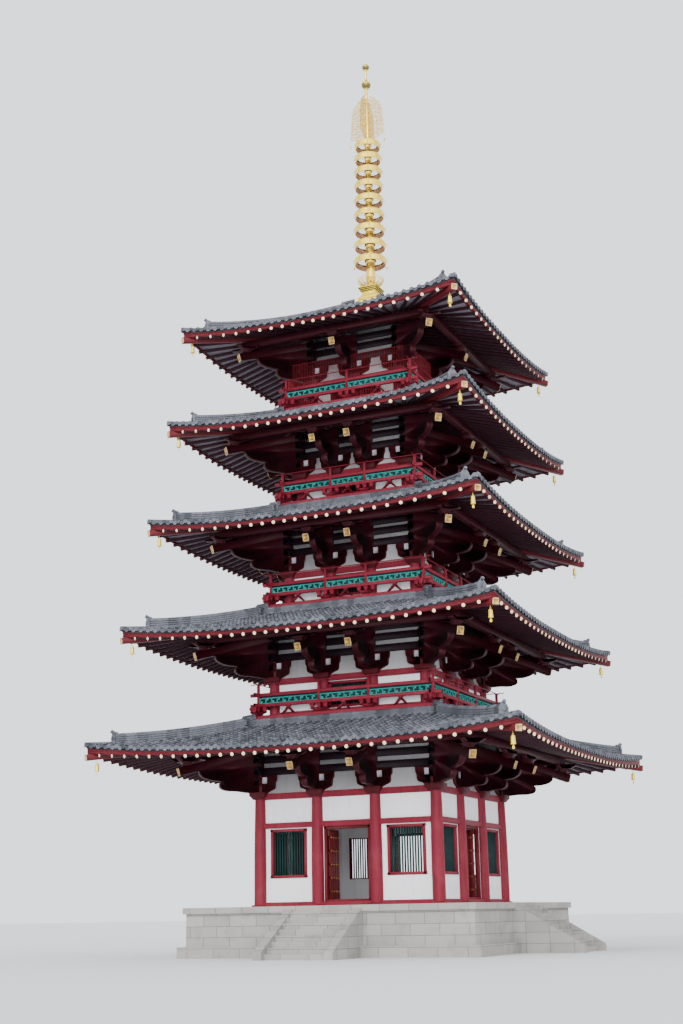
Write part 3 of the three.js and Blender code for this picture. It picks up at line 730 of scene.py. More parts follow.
def level_ridge(s):
    """The level ridge where a roof meets the floor over it: three flat layers, and on them a row of
    round cover tiles whose line rises a little at each joint, every 0.28 m."""
    _, inner, height = roof_slope(s)
    level = float(height(inner))
    reach = inner + 0.2
    section = [(reach, level - 0.1), (reach, level - 0.002)]
    for z in level + 0.05 * np.arange(3):
        section += [(reach - 0.025, z), (reach - 0.025, z + 0.014), (reach, z + 0.018), (reach, z + 0.048)]
    section += [(inner + 0.003, level + 0.15), (inner + 0.003, level - 0.1)]
    turn = np.linspace(-0.25, math.pi + 0.25, 8)
    cover = np.stack([inner + 0.11 + 0.08 * np.cos(turn), level + 0.14 + 0.07 * np.sin(turn)], -1)

    def joints(x, half):
        return 0.016 * np.maximum(0, np.cos(x * 22.4)) ** 4
    return join(ring(section), ring(cover, np.linspace(-1, 1, 115)[:-1], joints))


# Eaves

def rafters(s):
    """Round rafters from the wall to the eave, and a pale cap on each end. They stand evenly at the
    middle and wider apart towards the corners. They meet the wall straight at the middle and fanned
    towards the corner."""
    edge, wall, straight = s.eave - EDGE_INSET, s.body + 0.1, s.body - 0.05
    step = np.arange(-s.rafters, s.rafters + 1)
    stretch = (edge - RAFTER_SPACING * (s.rafters + 1)) * (np.abs(step) / (s.rafters + 1)) ** 2.2
    ends = np.sign(step) * (RAFTER_SPACING * np.abs(step) + stretch)
    fanned = straight + (wall - straight) * (np.abs(ends) - straight) / (edge - straight)
    roots = np.where(np.abs(ends) < straight, ends, np.sign(ends) * fanned)
    tip, foot = edge + 0.03, s.body + 0.06
    level = underside(s, np.array([tip, foot])) + RAFTER_RADIUS
    low, high = xyz(ends, -tip, level[0] + lift(s)(ends, tip)), xyz(roots, -foot, level[1])
    way = unit(low - high)
    caps = timbers(low - way * 0.03, low + way * 0.022, circle(RAFTER_RADIUS - 0.003, 14))
    return four(rods(high, low, RAFTER_RADIUS, 10)), four(caps)


def under_boards(s):
    """Boards on top of the rafters: a closed layer that follows the eave's curve."""
    halves = np.linspace(s.eave - EDGE_INSET - 0.1, s.body + 0.1, 5)
    over = 2 * RAFTER_RADIUS - 0.01
    low = [(h, underside(s, h) + over) for h in halves]
    return ring(low + [(h, z + 0.035) for h, z in low[::-1]], SIDE, lift(s))


def eave_board(s, width, height, chamfer, back, up, extra):
    """A board that follows the eave's curve, placed by its distance in from the fascia's face and its
    height over the rafters' ends."""
    place = (s.eave - EDGE_INSET - back, s.head + RAFTER_END + up)
    return ring(rectangle(width, height, chamfer) + place, SIDE, lift(s, extra))


def fascia(s):
    """The curved board over the rafters' ends, and a second board on it that rises faster towards the
    corners, so that the two together grow thicker there."""
    low = eave_board(s, 0.12, 0.125, 0.015, 0.06, 0.1, 0.0)
    return join(low, eave_board(s, 0.12, 0.09, 0.01, 0.056, 0.125, THICKER))


def tile_lath(s):
    """The lath on the fascia that carries the lowest tiles. Its dark paint is painted shadow, for the gap
    under the tiles.
    """
    return eave_board(s, 0.13, 0.035, 0.008, 0.035, 0.188, THICKER)


def end_plate(end, way, width, height):
    """A thin gilt plate flat on the end of a timber, and the paler rim round it."""
    side = unit(np.cross(way, UP))
    across, up = side * (width / 2 - 0.02), np.cross(side, way) * (height / 2 - 0.02)
    corners = end + np.array([-across - up, across - up, across + up, up - across])
    after = np.roll(corners, -1, 0)
    reach = unit(after - corners) * 0.02
    rim = box(corners - reach, after + reach, 0.04, 0.05, 0.006)
    return box(end - way * 0.004, end + way * 0.014, width - 0.02, height - 0.02, 0.004), rim


def corner_rafters(s):
    """The four corner rafters from the wall to the corner of the eave, and a gilt plate on each end."""
    root, tip = s.body + 0.08, s.eave - 0.02
    start, end = np.array([root, -root, s.head + 2.1]), np.array([tip, -tip, s.head + 1.27])
    plates = end_plate(end, unit(end - start), 0.23, 0.22)
    return four(timbers(start, end, rectangle(0.25, 0.23, 0.02))), [four(part) for part in plates]


def wind_bell():
    """A bell with a flared lip: crown, bowed side and open mouth, its clapper rod and flat tongue."""
    outside = [(0.012, 0.0), (0.05, -0.01), (0.063, -0.05), (0.066, -0.14), (0.07, -0.22), (0.08, -0.262)]
    inside = [(0.07, -0.255), (0.058, -0.21), (0.053, -0.13), (0.05, -0.05), (0.01, -0.03)]
    turn = np.arange(12) * math.pi / 6
    hook = tube(xyz(0.02 * np.cos(turn), 0, 0.03 + 0.03 * np.sin(turn)), 0.007, 6, True)
    tongue = smooth([(-0.02, 0), (0.02, 0), (0.05, -0.1), (0, -0.125), (-0.05, -0.1)], 1)
    return join(
        turned_piece(outside + inside, 14), hook, rods((0, 0, 0.145), (0, 0, 0.045), 0.006),
        rods((0, 0, -0.03), (0, 0, -0.29), 0.006), plate(tongue, 0.008, (0, 0, -0.28), 0.0, 0.002),
    )


def corner_bells(s):
    """A bell under each corner rafter, a little in from its end."""
    half = s.eave - 0.33
    return four(repeated(wind_bell(), (half, -half, s.head + 1.075), math.pi / 4, 1.15))


# Brackets over the walls

BEAM_ROWS = ((0.69, 0.985), (1.15, 1.435), (1.55, 1.825), (2.0, None))
GOBLET = smooth(mirrored([
    (0.31, 0.0), (0.4, 0.06), (0.55, 0.12), (0.68, 0.17), (0.69, 0.44), (0.75, 0.47), (0.75, 0.95),
]))
CLOUD_ARM = smooth([
    (-0.3, 0.02), (0.32, 0.03), (0.66, 0.1), (0.98, 0.1), (1.16, 0.2), (1.17, 0.4), (1.08, 0.46),
    (1.2, 0.47), (1.45, 0.5), (1.66, 0.6), (1.76, 0.76), (1.72, 1.0), (1.2, 1.25), (-0.3, 1.85),
])


def column_places(s):
    """The columns of one side without its last one, and whether each is a corner's, with the turns that
    a plate takes there: a corner's faces both ways."""
    for x in s.columns[:-1]:
        corner = x == -s.body
        yield x, corner, (0.0, math.pi / 2) if corner else (0.0,)


def stack_top(s):
    """Where the beams over a storey end: under the next floor, or under the top roof."""
    return s.head + 2.4 if s is LAST else STOREYS[STOREYS.index(s) + 1].floor - 0.151


def beam_stack(s):
    """Level rings of beams over the wall, with a short post at each column line between them."""
    head, body = s.head, s.body
    rings = [
        ring_beam(body - 0.17, body + 0.1, head + z0, head + z1 if z1 else stack_top(s))
        for z0, z1 in BEAM_ROWS
    ]
    foot = xyz([0.06 - body, *s.columns[1:-1]], 0.06 - body, head + 0.9)
    parts = [box(foot[:1], foot[:1] + UP * 1.25, 0.24, 0.29), box(foot[1:], foot[1:] + UP * 1.25, 0.3, 0.29)]
    for z0, z1 in BEAM_ROWS[:-1]:
        for start, way in (((-body, 0.1 - body), (0, -0.46)), ((0.1 - body, -body), (-0.46, 0))):
            start = np.array([*start, head + (z0 + z1) / 2])
            parts.append(timbers(start, start + (*way, 0), rectangle(0.24, z1 - z0)))
    return join(*rings, four(*parts))


def wall_brackets(s):
    """In the wall's own plane: a block on each column, and on it a bracket that widens in a round
    shoulder and carries the first beam. At a corner the bracket has one shoulder, and a beam's end
    stands out past the column both ways."""
    block = square_piece([(0.22, -0.22), (0.24, -0.18), (0.33, -0.07), (0.33, 0.05)])
    bay = s.columns[1] - s.columns[0]
    squeeze = 1 - max(0, 0.98 - bay / 2) / 2.6
    shapes = []
    for x, corner, turns in column_places(s):
        foot = np.array([x, -s.body, s.head])
        shapes.append(repeated(block, foot))
        reach = np.maximum(GOBLET[:, 0], -0.16 if corner else -9) * squeeze
        outline = np.stack([reach, np.minimum(GOBLET[:, 1], 0.69)], -1)
        shapes += [plate(outline, 0.3, foot, turn, 0.015) for turn in turns]
        for way in ((0.33, 0, 0.45), (0, 0.33, 0.45)) if corner else ():
            shapes.append(timbers(foot + way, foot - way + UP * 0.9, rectangle(0.26, 0.34)))
    return four(*shapes)


def outer_brackets(s):
    """Cloud-shaped arms that reach out from the columns, each with a sloping tail rafter over it, a
    bearing block and a boat-shaped arm under the purlin, and the purlin. Corner arms go out on the
    diagonal, with all reaches the square root of two times longer. Returned with the gilt end plates."""
    top = float(underside(s, s.body + 2.225)) - 0.002
    bottom = top - 0.26
    high, low = bottom - s.head + 0.01, 1.18
    boat = [(-0.62, high), (-0.62, high - 0.07), (-0.4, low), (0.4, low), (0.62, high - 0.07), (0.62, high)]
    block = square_piece([(0.15, 1.0), (0.16, 1.12), (0.22, 1.16), (0.22, 1.2)])
    shapes, plates, rims = [], [], []
    for x, corner, turns in column_places(s):
        stretch = math.sqrt(2) if corner else 1.0
        heading = (-0.75 if corner else -0.5) * math.pi
        out = np.array([math.cos(heading), math.sin(heading), 0.0]) * stretch
        foot = np.array([x, -s.body, s.head])
        fall = out + UP * -0.4
        end = foot + out * 2.31 + UP * 0.79
        place = foot + out * 2.1
        shapes += [
            plate(CLOUD_ARM * (stretch, 1), 0.27, foot, heading, 0.015),
            box(end - fall * 2.2, end, 0.28, 0.31, 0.015), repeated(block, place, heading),
            *(plate(boat, 0.22, place, turn) for turn in turns),
        ]
        flat, rim = end_plate(end, unit(fall), 0.26, 0.3)
        plates.append(flat)
        rims.append(rim)
    purlin = ring_beam(s.body + 1.975, s.body + 2.225, bottom, top)
    return join(four(*shapes), purlin), [four(*plates), four(*rims)]


def bracket_lights(s):
    """A small square of white plaster beside each outer arm, in front of the brackets' plane."""
    near, level = -s.body - 0.1, s.head + 0.5
    squares = []
    for x, corner, _ in column_places(s):
        for hand in (1,) if corner else (-1, 1):
            front = np.array([x + hand * 0.27, near, level])
            squares.append(box(front, front - (0, 0.06, 0), 0.2, 0.24, 0.004))
    left = np.array([near, 0.27 - s.body, level])
    return four(*squares, box(left, left - (0.06, 0, 0), 0.2, 0.24, 0.004))


# Walls, columns, windows and doors

def columns(s):
    """Round columns that swell a little: the radius follows a shallow curve up from the floor. On the
    ground floor they are thicker and stand on turned pads."""
    way = np.linspace(0, 1, 9)
    low, high = (0.24, 0.205) if s is FIRST else (0.21, 0.2)
    radius = low + (high - low) * way ** 1.6 + 0.008 * np.sin(way * math.pi)
    foot, top = s.floor + 0.002, s.head - 0.2
    places = xyz(s.columns[:-1], -s.body, 0)
    shapes = [repeated(turned_piece(np.stack([radius, foot + (top - foot) * way], -1), 28), places)]
    if s is FIRST:
        pad = turned_piece([(0.36, 0.0), (0.36, 0.03), (0.33, 0.06), (0.27, 0.075)], 28)
        shapes.append(repeated(pad, places + UP * foot))
    return four(*shapes)


def level_beams(s):
    """Rings of beams: the head beam, sills at the floor, and over the doors."""
    rings = [(0.11, s.head - 0.24, s.head - 0.004), (0.12, s.floor + 0.002, s.floor + 0.16)]
    if s is FIRST:
        rings.append((0.11, DOOR_TOP, DOOR_TOP + 0.2))
    return join(*(ring_beam(s.body - 0.018, s.body + proud, low, high) for proud, low, high in rings))


def windows(s):
    """The windows of a storey on one side: (centre, half width, bottom, top, half width of the body)."""
    if s is FIRST:
        return [(hand * 2.42, 0.7, 2.9, 4.6, s.body) for hand in (-1, 1)]
    low, high = s.floor + 0.26, s.head - 0.33
    if s is LAST:
        return [(hand * 0.675, 0.405, low, high, s.body) for hand in (-1, 1)]
    return [(0.0, s.columns[2] - 0.26, low, high, s.body)]


def window_frame(centre, half, bottom, top, body, width=0.1):
    """Four red timbers round a window on one side, mitred by overlap and proud of the plaster."""
    middle, depth = 0.0665 - body, 0.223
    up, flat = rectangle(width, depth, 0.01), rectangle(depth, width, 0.01)
    edge, shift = half + 0.06 - width / 2, 0.06 - width / 2
    posts = xyz([centre - edge, centre + edge], middle, bottom - 0.06)
    bars = xyz(centre - half - 0.08, middle, [bottom - shift, top + shift])
    return join(
        timbers(posts, posts + UP * (top - bottom + 0.12), up, 0.008),
        timbers(bars, bars + (2 * half + 0.16, 0, 0), flat, 0.008),
    )


def window_bars(centre, half, bottom, top, body, spacing=0.105, thick=0.052):
    """Upright bars set edgeways across a window, evenly spaced."""
    count = int(2 * half / spacing)
    foot = xyz(centre + (np.arange(count) - (count - 1) / 2) * spacing, 0.09 - body, bottom)
    return rods(foot, foot + UP * (top - bottom), thick / math.sqrt(2), 4)


def door_leaves(s):
    """Each side's pair of plank leaves, open inwards against the jambs, their battens and gilt studs."""
    body, bottom, top = s.body, s.floor + 0.161, DOOR_TOP - 0.001
    middle = 0.1 - body
    jambs = xyz([-0.9, 0.9], middle, bottom)
    parts = [box(jambs, jambs + UP * (top - bottom), 0.098, 0.158, 0.01)]
    for z, height in ((top - 0.05, 0.1), (bottom + 0.03, 0.06)):
        parts.append(box((-0.949, middle, z), (0.949, middle, z), 0.158, height, 0.01))
    studs = []
    for hand in (-1, 1):
        x = hand * 0.819
        planks = xyz(x, 0.315 - body + 0.21 * np.arange(4), bottom + 0.07)
        plank_tops = planks + UP * (top - bottom - 0.18)
        parts.append(timbers(planks, plank_tops, rectangle(0.05, 0.205, 0.008), 0.008))
        level = np.linspace(bottom + 0.35, top - 0.4, 5)
        battens = xyz(x, 0.2 - body, level)
        parts.append(timbers(battens, battens + (0, 0.84, 0), rectangle(0.066, 0.1, 0.008), 0.008))
        heads = xyz(x - hand * 0.02, np.linspace(0.3 - body, 0.95 - body, 4), level[:, None]).reshape(-1, 3)
        studs.append(timbers(heads, heads - (hand * 0.032, 0, 0), circle(0.03, 10)))
    return four(*parts), four(*studs)


# Balconies

def post_places(s):
    """Places along a side where the balcony's posts and its bearing blocks stand."""
    return [-s.rail, *s.columns[1:-1], s.rail]


def balcony_frame(s):
    """Base beam, a bearing bracket with three blocks under each post, and curved inverted struts
    between them. A bracket at a corner reaches to both sides."""
    right = [(0.17, 0.03), (0.21, 0.1), (0.34, 0.13), (0.38, 0.2)]
    bearer = smooth(mirrored(right), 1)
    small = square_piece([(0.055, 0.19), (0.055, 0.24), (0.085, 0.28), (0.085, 0.361)])
    cap = square_piece([(0.055, 0.3), (0.08, 0.325), (0.08, 0.361)])
    strut = smooth([
        (-0.33, 0.031), (-0.23, 0.031), (-0.12, 0.13), (0, 0.24), (0.12, 0.13), (0.23, 0.031), (0.33, 0.031),
        (0.26, 0.09), (0.15, 0.2), (0.06, 0.31), (-0.06, 0.31), (-0.15, 0.2), (-0.26, 0.09),
    ], 1)
    posts = np.array(post_places(s))
    feet = xyz(posts[:-1], -s.rail, s.floor)
    middles = xyz((posts[1:] + posts[:-1]) / 2, -s.rail, s.floor)
    blocks = [xyz(x + np.array([-0.29, 0, 0.29]), -s.rail, s.floor) for x in posts[:-1]]
    blocks.append(xyz(-s.rail, [-s.rail - 0.29, 0.29 - s.rail], s.floor))
    parts = [
        repeated(plate(bearer, 0.12), feet), plate(bearer, 0.12, feet[0], math.pi / 2),
        repeated(small, np.concatenate(blocks)), repeated(plate(strut, 0.11, edge=0.008), middles),
        repeated(cap, middles),
    ]
    return join(four(*parts), ring_beam(s.rail - 0.09, s.rail + 0.088, s.floor - 0.1, s.floor + 0.03))


def railing(s):
    """Bottom and middle rails and a thin top rail that cross and stand out past the corners, with posts
    at the corners and column lines."""
    reach = s.rail + 0.35
    rails = []
    for z, width, height in ((0.426, 0.12, 0.13), (0.84, 0.11, 0.13), (1.265, 0.035, 0.035)):
        start = np.array([-reach, -s.rail, s.floor + z])
        rails.append(timbers(start, start * (-1, 1, 1), rectangle(width, height, 0.01)))
    places = xyz(post_places(s)[:-1], -s.rail, s.floor + 0.37)
    return four(*rails, box(places, places + UP * 0.88, 0.1, 0.1))


def fret(s, cell=0.245):
    """Openwork between the two lower rails, in cells of about the given width: an upright starts each,
    a bar runs along top and bottom, and blocks stand on the lower bar and hang from the upper by turns."""
    low, high = s.floor + 0.492, s.floor + 0.718
    shapes = []
    for left, right in zip(post_places(s), post_places(s)[1:]):
        count = int(round((right - left - 0.1) / cell))
        start = left + 0.05 + (right - left - 0.1) * np.arange(count) / count
        foot = xyz(start + 0.025, -s.rail, low)
        block = xyz(start + 0.08, -s.rail, low + 0.03 + 0.078 * (np.arange(count) % 2))
        shapes.append(box(foot, foot + UP * (high - low), 0.05, 0.03, 0.004))
        shapes.append(box(block, block + UP * 0.078, 0.11, 0.03, 0.004))
        for z, tall in ((low + 0.015, 0.03), (high - 0.02, 0.04)):
            shapes.append(box((left + 0.05, -s.rail, z), (right - 0.05, -s.rail, z), 0.026, tall, 0.004))
    return four(*shapes)


def fret_panel(s):
    """A thin dark layer just behind the railing's openwork, seen through its gaps."""
    return ring_beam(s.rail - 0.035, s.rail - 0.02, s.floor + 0.48, s.floor + 0.78, 0.002)


def rod_screen(s, spacing=0.075):
    """Bird guard round the top balcony, just inside its railing: thin upright rods, evenly spaced, with
    a thin rail along their middle and top and a post at each corner."""
    low, half = s.floor + 0.03, s.rail - 0.075
    count = int(2 * half / spacing)
    foot = xyz((np.arange(count) - (count - 1) / 2) * spacing, -half, low)
    corner = np.array([-half, -half, low])
    rails = xyz(-half, -half, [low + 0.9, low + 1.9])
    parts = [rods(foot, foot + UP * 1.9, 0.003, 5), rods(corner, corner + UP * 1.91, 0.01, 8)]
    return four(*parts, rods(rails, rails + (2 * half, 0, 0), 0.004))


# Finial

CORNICE = [(0.335 + 0.036 * layer, 27.75 + 0.0615 * layer) for layer in range(4)]
FLAME_LOW, FLAME_HIGH = 35.25, 37.47
EIGHTHS = np.arange(8) * math.pi / 4 + math.pi / 8


def finial_base():
    """Square box on the top roof: a foot, panelled sides with a flower in each panel, a skirt whose
    sides curve in as they rise, and a cornice of thin layers that steps out upwards."""
    foot = [(0.55, 26.86), (0.57, 26.96), (0.57, 27.03), (0.5, 27.05), (0.45, 27.08)]
    side = [(0.45, 27.4), (0.47, 27.42), (0.47, 27.46)]
    skirt = [(0.3 + 0.13 * (1 - w) ** 1.8, 27.47 + 0.27 * w) for w in np.linspace(0, 1, 8)]
    steps = []
    for half, z in CORNICE:
        steps += [(half - 0.03, z), (half, z + 0.004), (half, z + 0.034), (half - 0.03, z + 0.036)]
    posts = xyz([-0.43, -0.15, 0.15], -0.452, 27.08)
    rails = xyz(-0.45, -0.455, [27.11, 27.38])
    flower = [(0.075, -0.012), (0.078, 0.004), (0.05, 0.016), (0.03, 0.01), (0.012, 0.022)]
    parts = [
        box(posts, posts + UP * 0.32, 0.05, 0.04, 0.008),
        box(rails, rails + (0.9, 0, 0), 0.036, 0.035, 0.008),
        repeated(rosette(flower, 16, 8, 0.1), xyz([-0.29, 0.0, 0.29], -0.458, 27.245)),
    ]
    return join(square_piece(foot + side + skirt + steps), four(*parts))


def cornice_shadows():
    """The dark layers between the layers of the cornice, set back a little."""
    return join(*(ring_beam(0.28, half + 0.028, z + 0.037, z + 0.0605, 0.002) for half, z in CORNICE[:-1]))


def lotus_cup():
    """A turned foot, and the slim stem that the petals stand round."""
    foot = [(0.25, 27.971), (0.265, 27.99), (0.265, 28.03), (0.22, 28.08), (0.19, 28.12)]
    return turned_piece(foot + [(0.185, 28.3), (0.2, 28.4), (0.21, 28.455), (0.1, 28.475)], 40)


def lotus_petals():
    """Two rings of eight open petals, each a thin rod bent along the petal's edge and a slim leaf inside
    it. The width follows a sine to the point of the tip, and it swings out by a quarter of a sine wave."""
    def spot(side, v):
        width = 0.19 * np.sin(np.clip(v * 0.84 + 0.16, 0, 1) * math.pi) ** 0.6
        reach = 0.22 + 0.375 * np.sin(v * math.pi / 2) - 0.05 * side ** 2 * v
        return xyz(side * width, -reach, 28.13 + 0.35 * v ** 1.5)

    v = np.linspace(0, 1, 10)
    edge = tube(np.concatenate([spot(-1, v), spot(1, v[::-1])[1:]]), 0.012, 6)
    middle = tube(spot(0, np.linspace(0, 0.93, 8)), 0.022 * np.sin(np.linspace(0.3, 2.9, 8)), 6)
    place = np.arange(16)
    return repeated(join(edge, middle), xyz(0, 0, -0.03 * (place % 2)), place / 16 * 2 * math.pi)


def finial_rings():
    """For each of the nine rings its radius and height, and the radii of the shaft and of the hub's
    flange there."""
    place = np.arange(9)
    z = 29.27 + 0.775 * place - 0.0078 * place ** 2
    return list(zip(0.69 - 0.135 * place / 8, z, 0.2 - 0.085 * (z - 28.48) / 6.5, 0.26 - 0.105 * place / 8))


def hoops(section, back):
    """The same section of (in, up) turned into a hoop in each ring."""
    section = np.array(section)
    return join(*(turned_hoop(section + (radius - back, z), 40) for radius, z, _, _ in finial_rings()))


def ring_bands():
    """The nine flat bands with a rolled edge above and below."""
    return hoops([
        (-0.004, -0.165), (0.006, -0.155), (0.006, -0.14), (-0.004, -0.13), (-0.004, 0.075), (0.006, 0.085),
        (0.006, 0.1), (-0.004, 0.11), (-0.028, 0.11), (-0.028, -0.165),
    ], 0.006)


def ring_linings():
    """A thinner hoop inside each band."""
    return hoops([(-0.034, -0.155), (-0.034, 0.045), (-0.046, 0.045), (-0.046, -0.155)], 0.001)


def ring_shadows():
    """The dark hoops: one inside the top of each band, and one under the flange of each hub."""
    shapes = [hoops([(-0.034, 0.048), (-0.034, 0.107), (-0.065, 0.107), (-0.065, 0.048)], 0.001)]
    for _, z, shaft, flange in finial_rings():
        outer, inner = flange - 0.004, shaft + 0.03
        under = [(outer, z + 0.049), (outer, z + 0.022), (inner, z + 0.01), (inner, z + 0.049)]
        shapes.append(turned_hoop(under, 24))
    return join(*shapes)


def ring_hubs():
    """A hub with a flange for each ring."""
    return join(*(turned_piece([
        (shaft + 0.005, z - 0.15), (shaft + 0.025, z - 0.13), (shaft + 0.025, z + 0.03), (flange, z + 0.05),
        (flange, z + 0.09), (shaft + 0.02, z + 0.1), (shaft + 0.005, z + 0.115),
    ], 24) for _, z, shaft, flange in finial_rings()))


def ring_spokes():
    """Eight thin spokes in each ring, and a pair of small scrolls where every spoke meets the band."""
    curl = np.linspace(0.3, 1.9 * math.pi, 12)
    size = 0.062 * (1 - 0.5 * np.linspace(0, 1, 12))
    across, away = 0.06 + size * np.sin(curl), size * np.cos(curl) - 0.075
    shapes = []
    for radius, z, shaft, _ in finial_rings():
        reach = radius - 0.04
        scrolls = [tube(xyz(reach + away, hand * across, z), 0.008, 5) for hand in (-1, 1)]
        spoke = rods((shaft, 0, z), (reach, 0, z), 0.009)
        shapes.append(repeated(join(spoke, *scrolls), np.zeros((8, 3)), EIGHTHS))
    return join(*shapes)


def finial_bells():
    """Small ear loops round each band, on the lowest band short chains with tiny bells, and a thin chain
    and a tiny bell under the lower outer corner of each flame wing."""
    ear = np.arange(10) * math.pi / 5
    loop = tube(xyz(0.035 * np.cos(ear), 0, 0.085 * np.sin(ear)), 0.014, 5, True)
    way = xyz(np.cos(EIGHTHS), np.sin(EIGHTHS), 0)
    rings = finial_rings()
    shapes = [repeated(loop, way * (radius + 0.035) + UP * (z + 0.01), EIGHTHS) for radius, z, _, _ in rings]
    places = way[::2] * (rings[0][0] + 0.035) + UP * (rings[0][1] - 0.02)
    shapes.append(rods(places, places - UP * 0.2, 0.006, 5))
    shapes.append(repeated(wind_bell(), places - UP * 0.2, EIGHTHS[::2], 0.45))
    chain = rods((0.82, 0, 35.5), (0.83, 0, 35.2), 0.006, 5)
    return join(*shapes, four(chain, repeated(wind_bell(), (0.83, 0, 35.18), 0.0, 0.4)))


def mast():
    """The shaft that narrows upwards, a collar, the thin rod over it, and the two balls."""
    turn = np.linspace(-math.pi / 2 + 0.5, math.pi / 2 - 0.5, 13)
    return turned_piece([
        (0.18, 28.477), (0.2, 28.48), (0.115, 34.98), (0.17, 35.0), (0.17, 35.05), (0.11, 35.1),
        (0.068, 35.2), (0.068, 37.84), (0.1, 37.87), (0.12, 37.9),
        *((0.215 * math.cos(t), 38.09 + 0.2 * math.sin(t)) for t in turn),
        (0.07, 38.31), (0.06, 38.38), (0.056, 38.8), (0.08, 38.83),
        *((0.165 * math.cos(t), 39.01 + 0.155 * math.sin(t)) for t in turn),
        (0.05, 39.165), (0.01, 39.199),
    ], 36)


def flame_reach(up):
    """Reach of a wing at a height from 0 to 1: it leans in, and is rounded off with the cube above."""
    return 0.85 - 0.16 * up - 0.52 * np.clip((up - 0.5) / 0.5, 0, 1) ** 3


def flame_strand(out, up, radius, sides=6):
    """A thin strand in the plane of +X and +Z that tapers to its end, through points given as metres
    out and a height from 0 to 1."""
    path = xyz(out, 0, FLAME_LOW + np.asarray(up) * (FLAME_HIGH - FLAME_LOW))
    return tube(path, radius * (1 - 0.6 * np.linspace(0, 1, len(path)) ** 2), sides)


def flame():
    """Four lace-like wings round the rod: a foot that rises outwards, wavy stems, rows of curls between
    them that shrink as they turn, and short tongues that stand out all along the edge."""
    up = np.linspace(0, 1, 30)
    strands = [flame_strand([0.07, 0.3, 0.55, 0.83], [0, 0.025, 0.06, 0.11], 0.018)]
    for part in (0.3, 0.62):
        out = part * flame_reach(up) + 0.025 * np.sin(up * 30)
        strands.append(flame_strand(out, part * 0.1 + up * 0.9, 0.015))
    turn = np.linspace(0, 3.6 * math.pi, 22)
    shrink = 1 - 0.8 * np.linspace(0, 1, 22)
    for row, low in enumerate(np.arange(0.04, 0.95, 0.066)):
        for column, part in enumerate((0.16, 0.44, 0.66, 0.86)):
            hand = 1 if (row + column) % 2 else -1
            size = (0.088 + 0.02 * ((row + 2 * column) % 3)) * shrink * flame_reach(low) / 0.8
            out = part * flame_reach(low) + hand * size * np.cos(turn)
            rise = low + 0.1 * part * (1 - low) + size * np.sin(turn) / (FLAME_HIGH - FLAME_LOW)
            strands.append(flame_strand(out, rise, 0.012, 5))
    sweep = np.linspace(0, 1, 6)
    for low in np.linspace(0.1, 0.97, 24):
        rise = low + 0.025 * sweep ** 2 + 0.012 * np.sin(sweep * 4)
        strands.append(flame_strand(flame_reach(low) - 0.09 + 0.1 * sweep, rise, 0.015, 5))
    return four(*strands)


def flame_rod():
    """The sleeve round the rod between the wings."""
    return turned_piece([(0.085, 35.25), (0.095, 35.3), (0.09, 36.4), (0.08, 37.3), (0.07, 37.35)], 20)


# The piece for each part of the building

def dress_storey(number, s):
    """All pieces of one storey."""
    def part(name, shape, material, slot="vermilion_timber", node=None, soft=False):
        piece(f"{name}_{number}", shape, material, slot, (f"{node}_{number}",) if node else (), soft)

    if s is not FIRST:
        part("balcony_beams", balcony_frame(s), VERMILION, node="balcony")
        part("railing_bars", railing(s), VERMILION, node="railing")
        part("railing_fret", fret(s), FRET_GREEN)
        part("railing_panel", fret_panel(s), BAR_GREEN)
    part("columns", join(columns(s), level_beams(s)), VERMILION, node="frame", soft=True)
    part("window_frames", four(*(window_frame(*w) for w in windows(s))), VERMILION)
    bars = four(*(window_bars(*w) for w in windows(s)))
    part("window_bars", bars, DOOR_RED if s is LAST else BAR_GREEN)
    part("beam_stack", beam_stack(s), STACK_SHADE_RED, node="beams")
    core = ring_beam(s.body - 0.175, s.body + 0.025, s.head + 0.002, stack_top(s) - 0.01, 0.0)
    part("plaster_core", core, PLASTER, "plaster")
    part("bracket_squares", bracket_lights(s), SHADED_BLOCK_WHITE, "plaster")
    part("wall_brackets", wall_brackets(s), BRACKET_SHADE_RED)
    arms, plates = outer_brackets(s)
    part("cloud_arms", arms, SHADED_RED, node="brackets")
    poles, caps = rafters(s)
    part("rafters", poles, RAFTER_SHADE_RED, "eave_timber", "eaves", True)
    part("rafter_caps", caps, PALE_CAP, "gilt", soft=True)
    part("under_boards", under_boards(s), UNDERBOARD, "eave_timber")
    part("fascia", fascia(s), FASCIA_SHADE_RED)
    part("tile_lath", tile_lath(s), STACK_SHADE_RED, "eave_timber")
    corner_beams, corner_plates = corner_rafters(s)
    part("corner_rafters", corner_beams, FASCIA_SHADE_RED, "eave_timber")
    part("end_plates", join(plates[0], corner_plates[0]), CAP_GILT, "gilt")
    part("plate_rims", join(plates[1], corner_plates[1]), PLATE_RIM, "gilt")
    part("wind_bells", corner_bells(s), PALE_GILT, "gilt", soft=True)
    part("tile_sheets", four(tile_sheet(s)), TILE, "tile", "roof_tiles", True)
    part("tile_bed", tile_bed(s), TILE, "tile")
    part("eave_tiles", eave_tiles(s), TILE, "tile", soft=True)
    part("hip_ridges", hips(s), TILE, "tile", soft=True)
    if s is not LAST:
        part("level_ridge", level_ridge(s), TILE, "tile", soft=True)


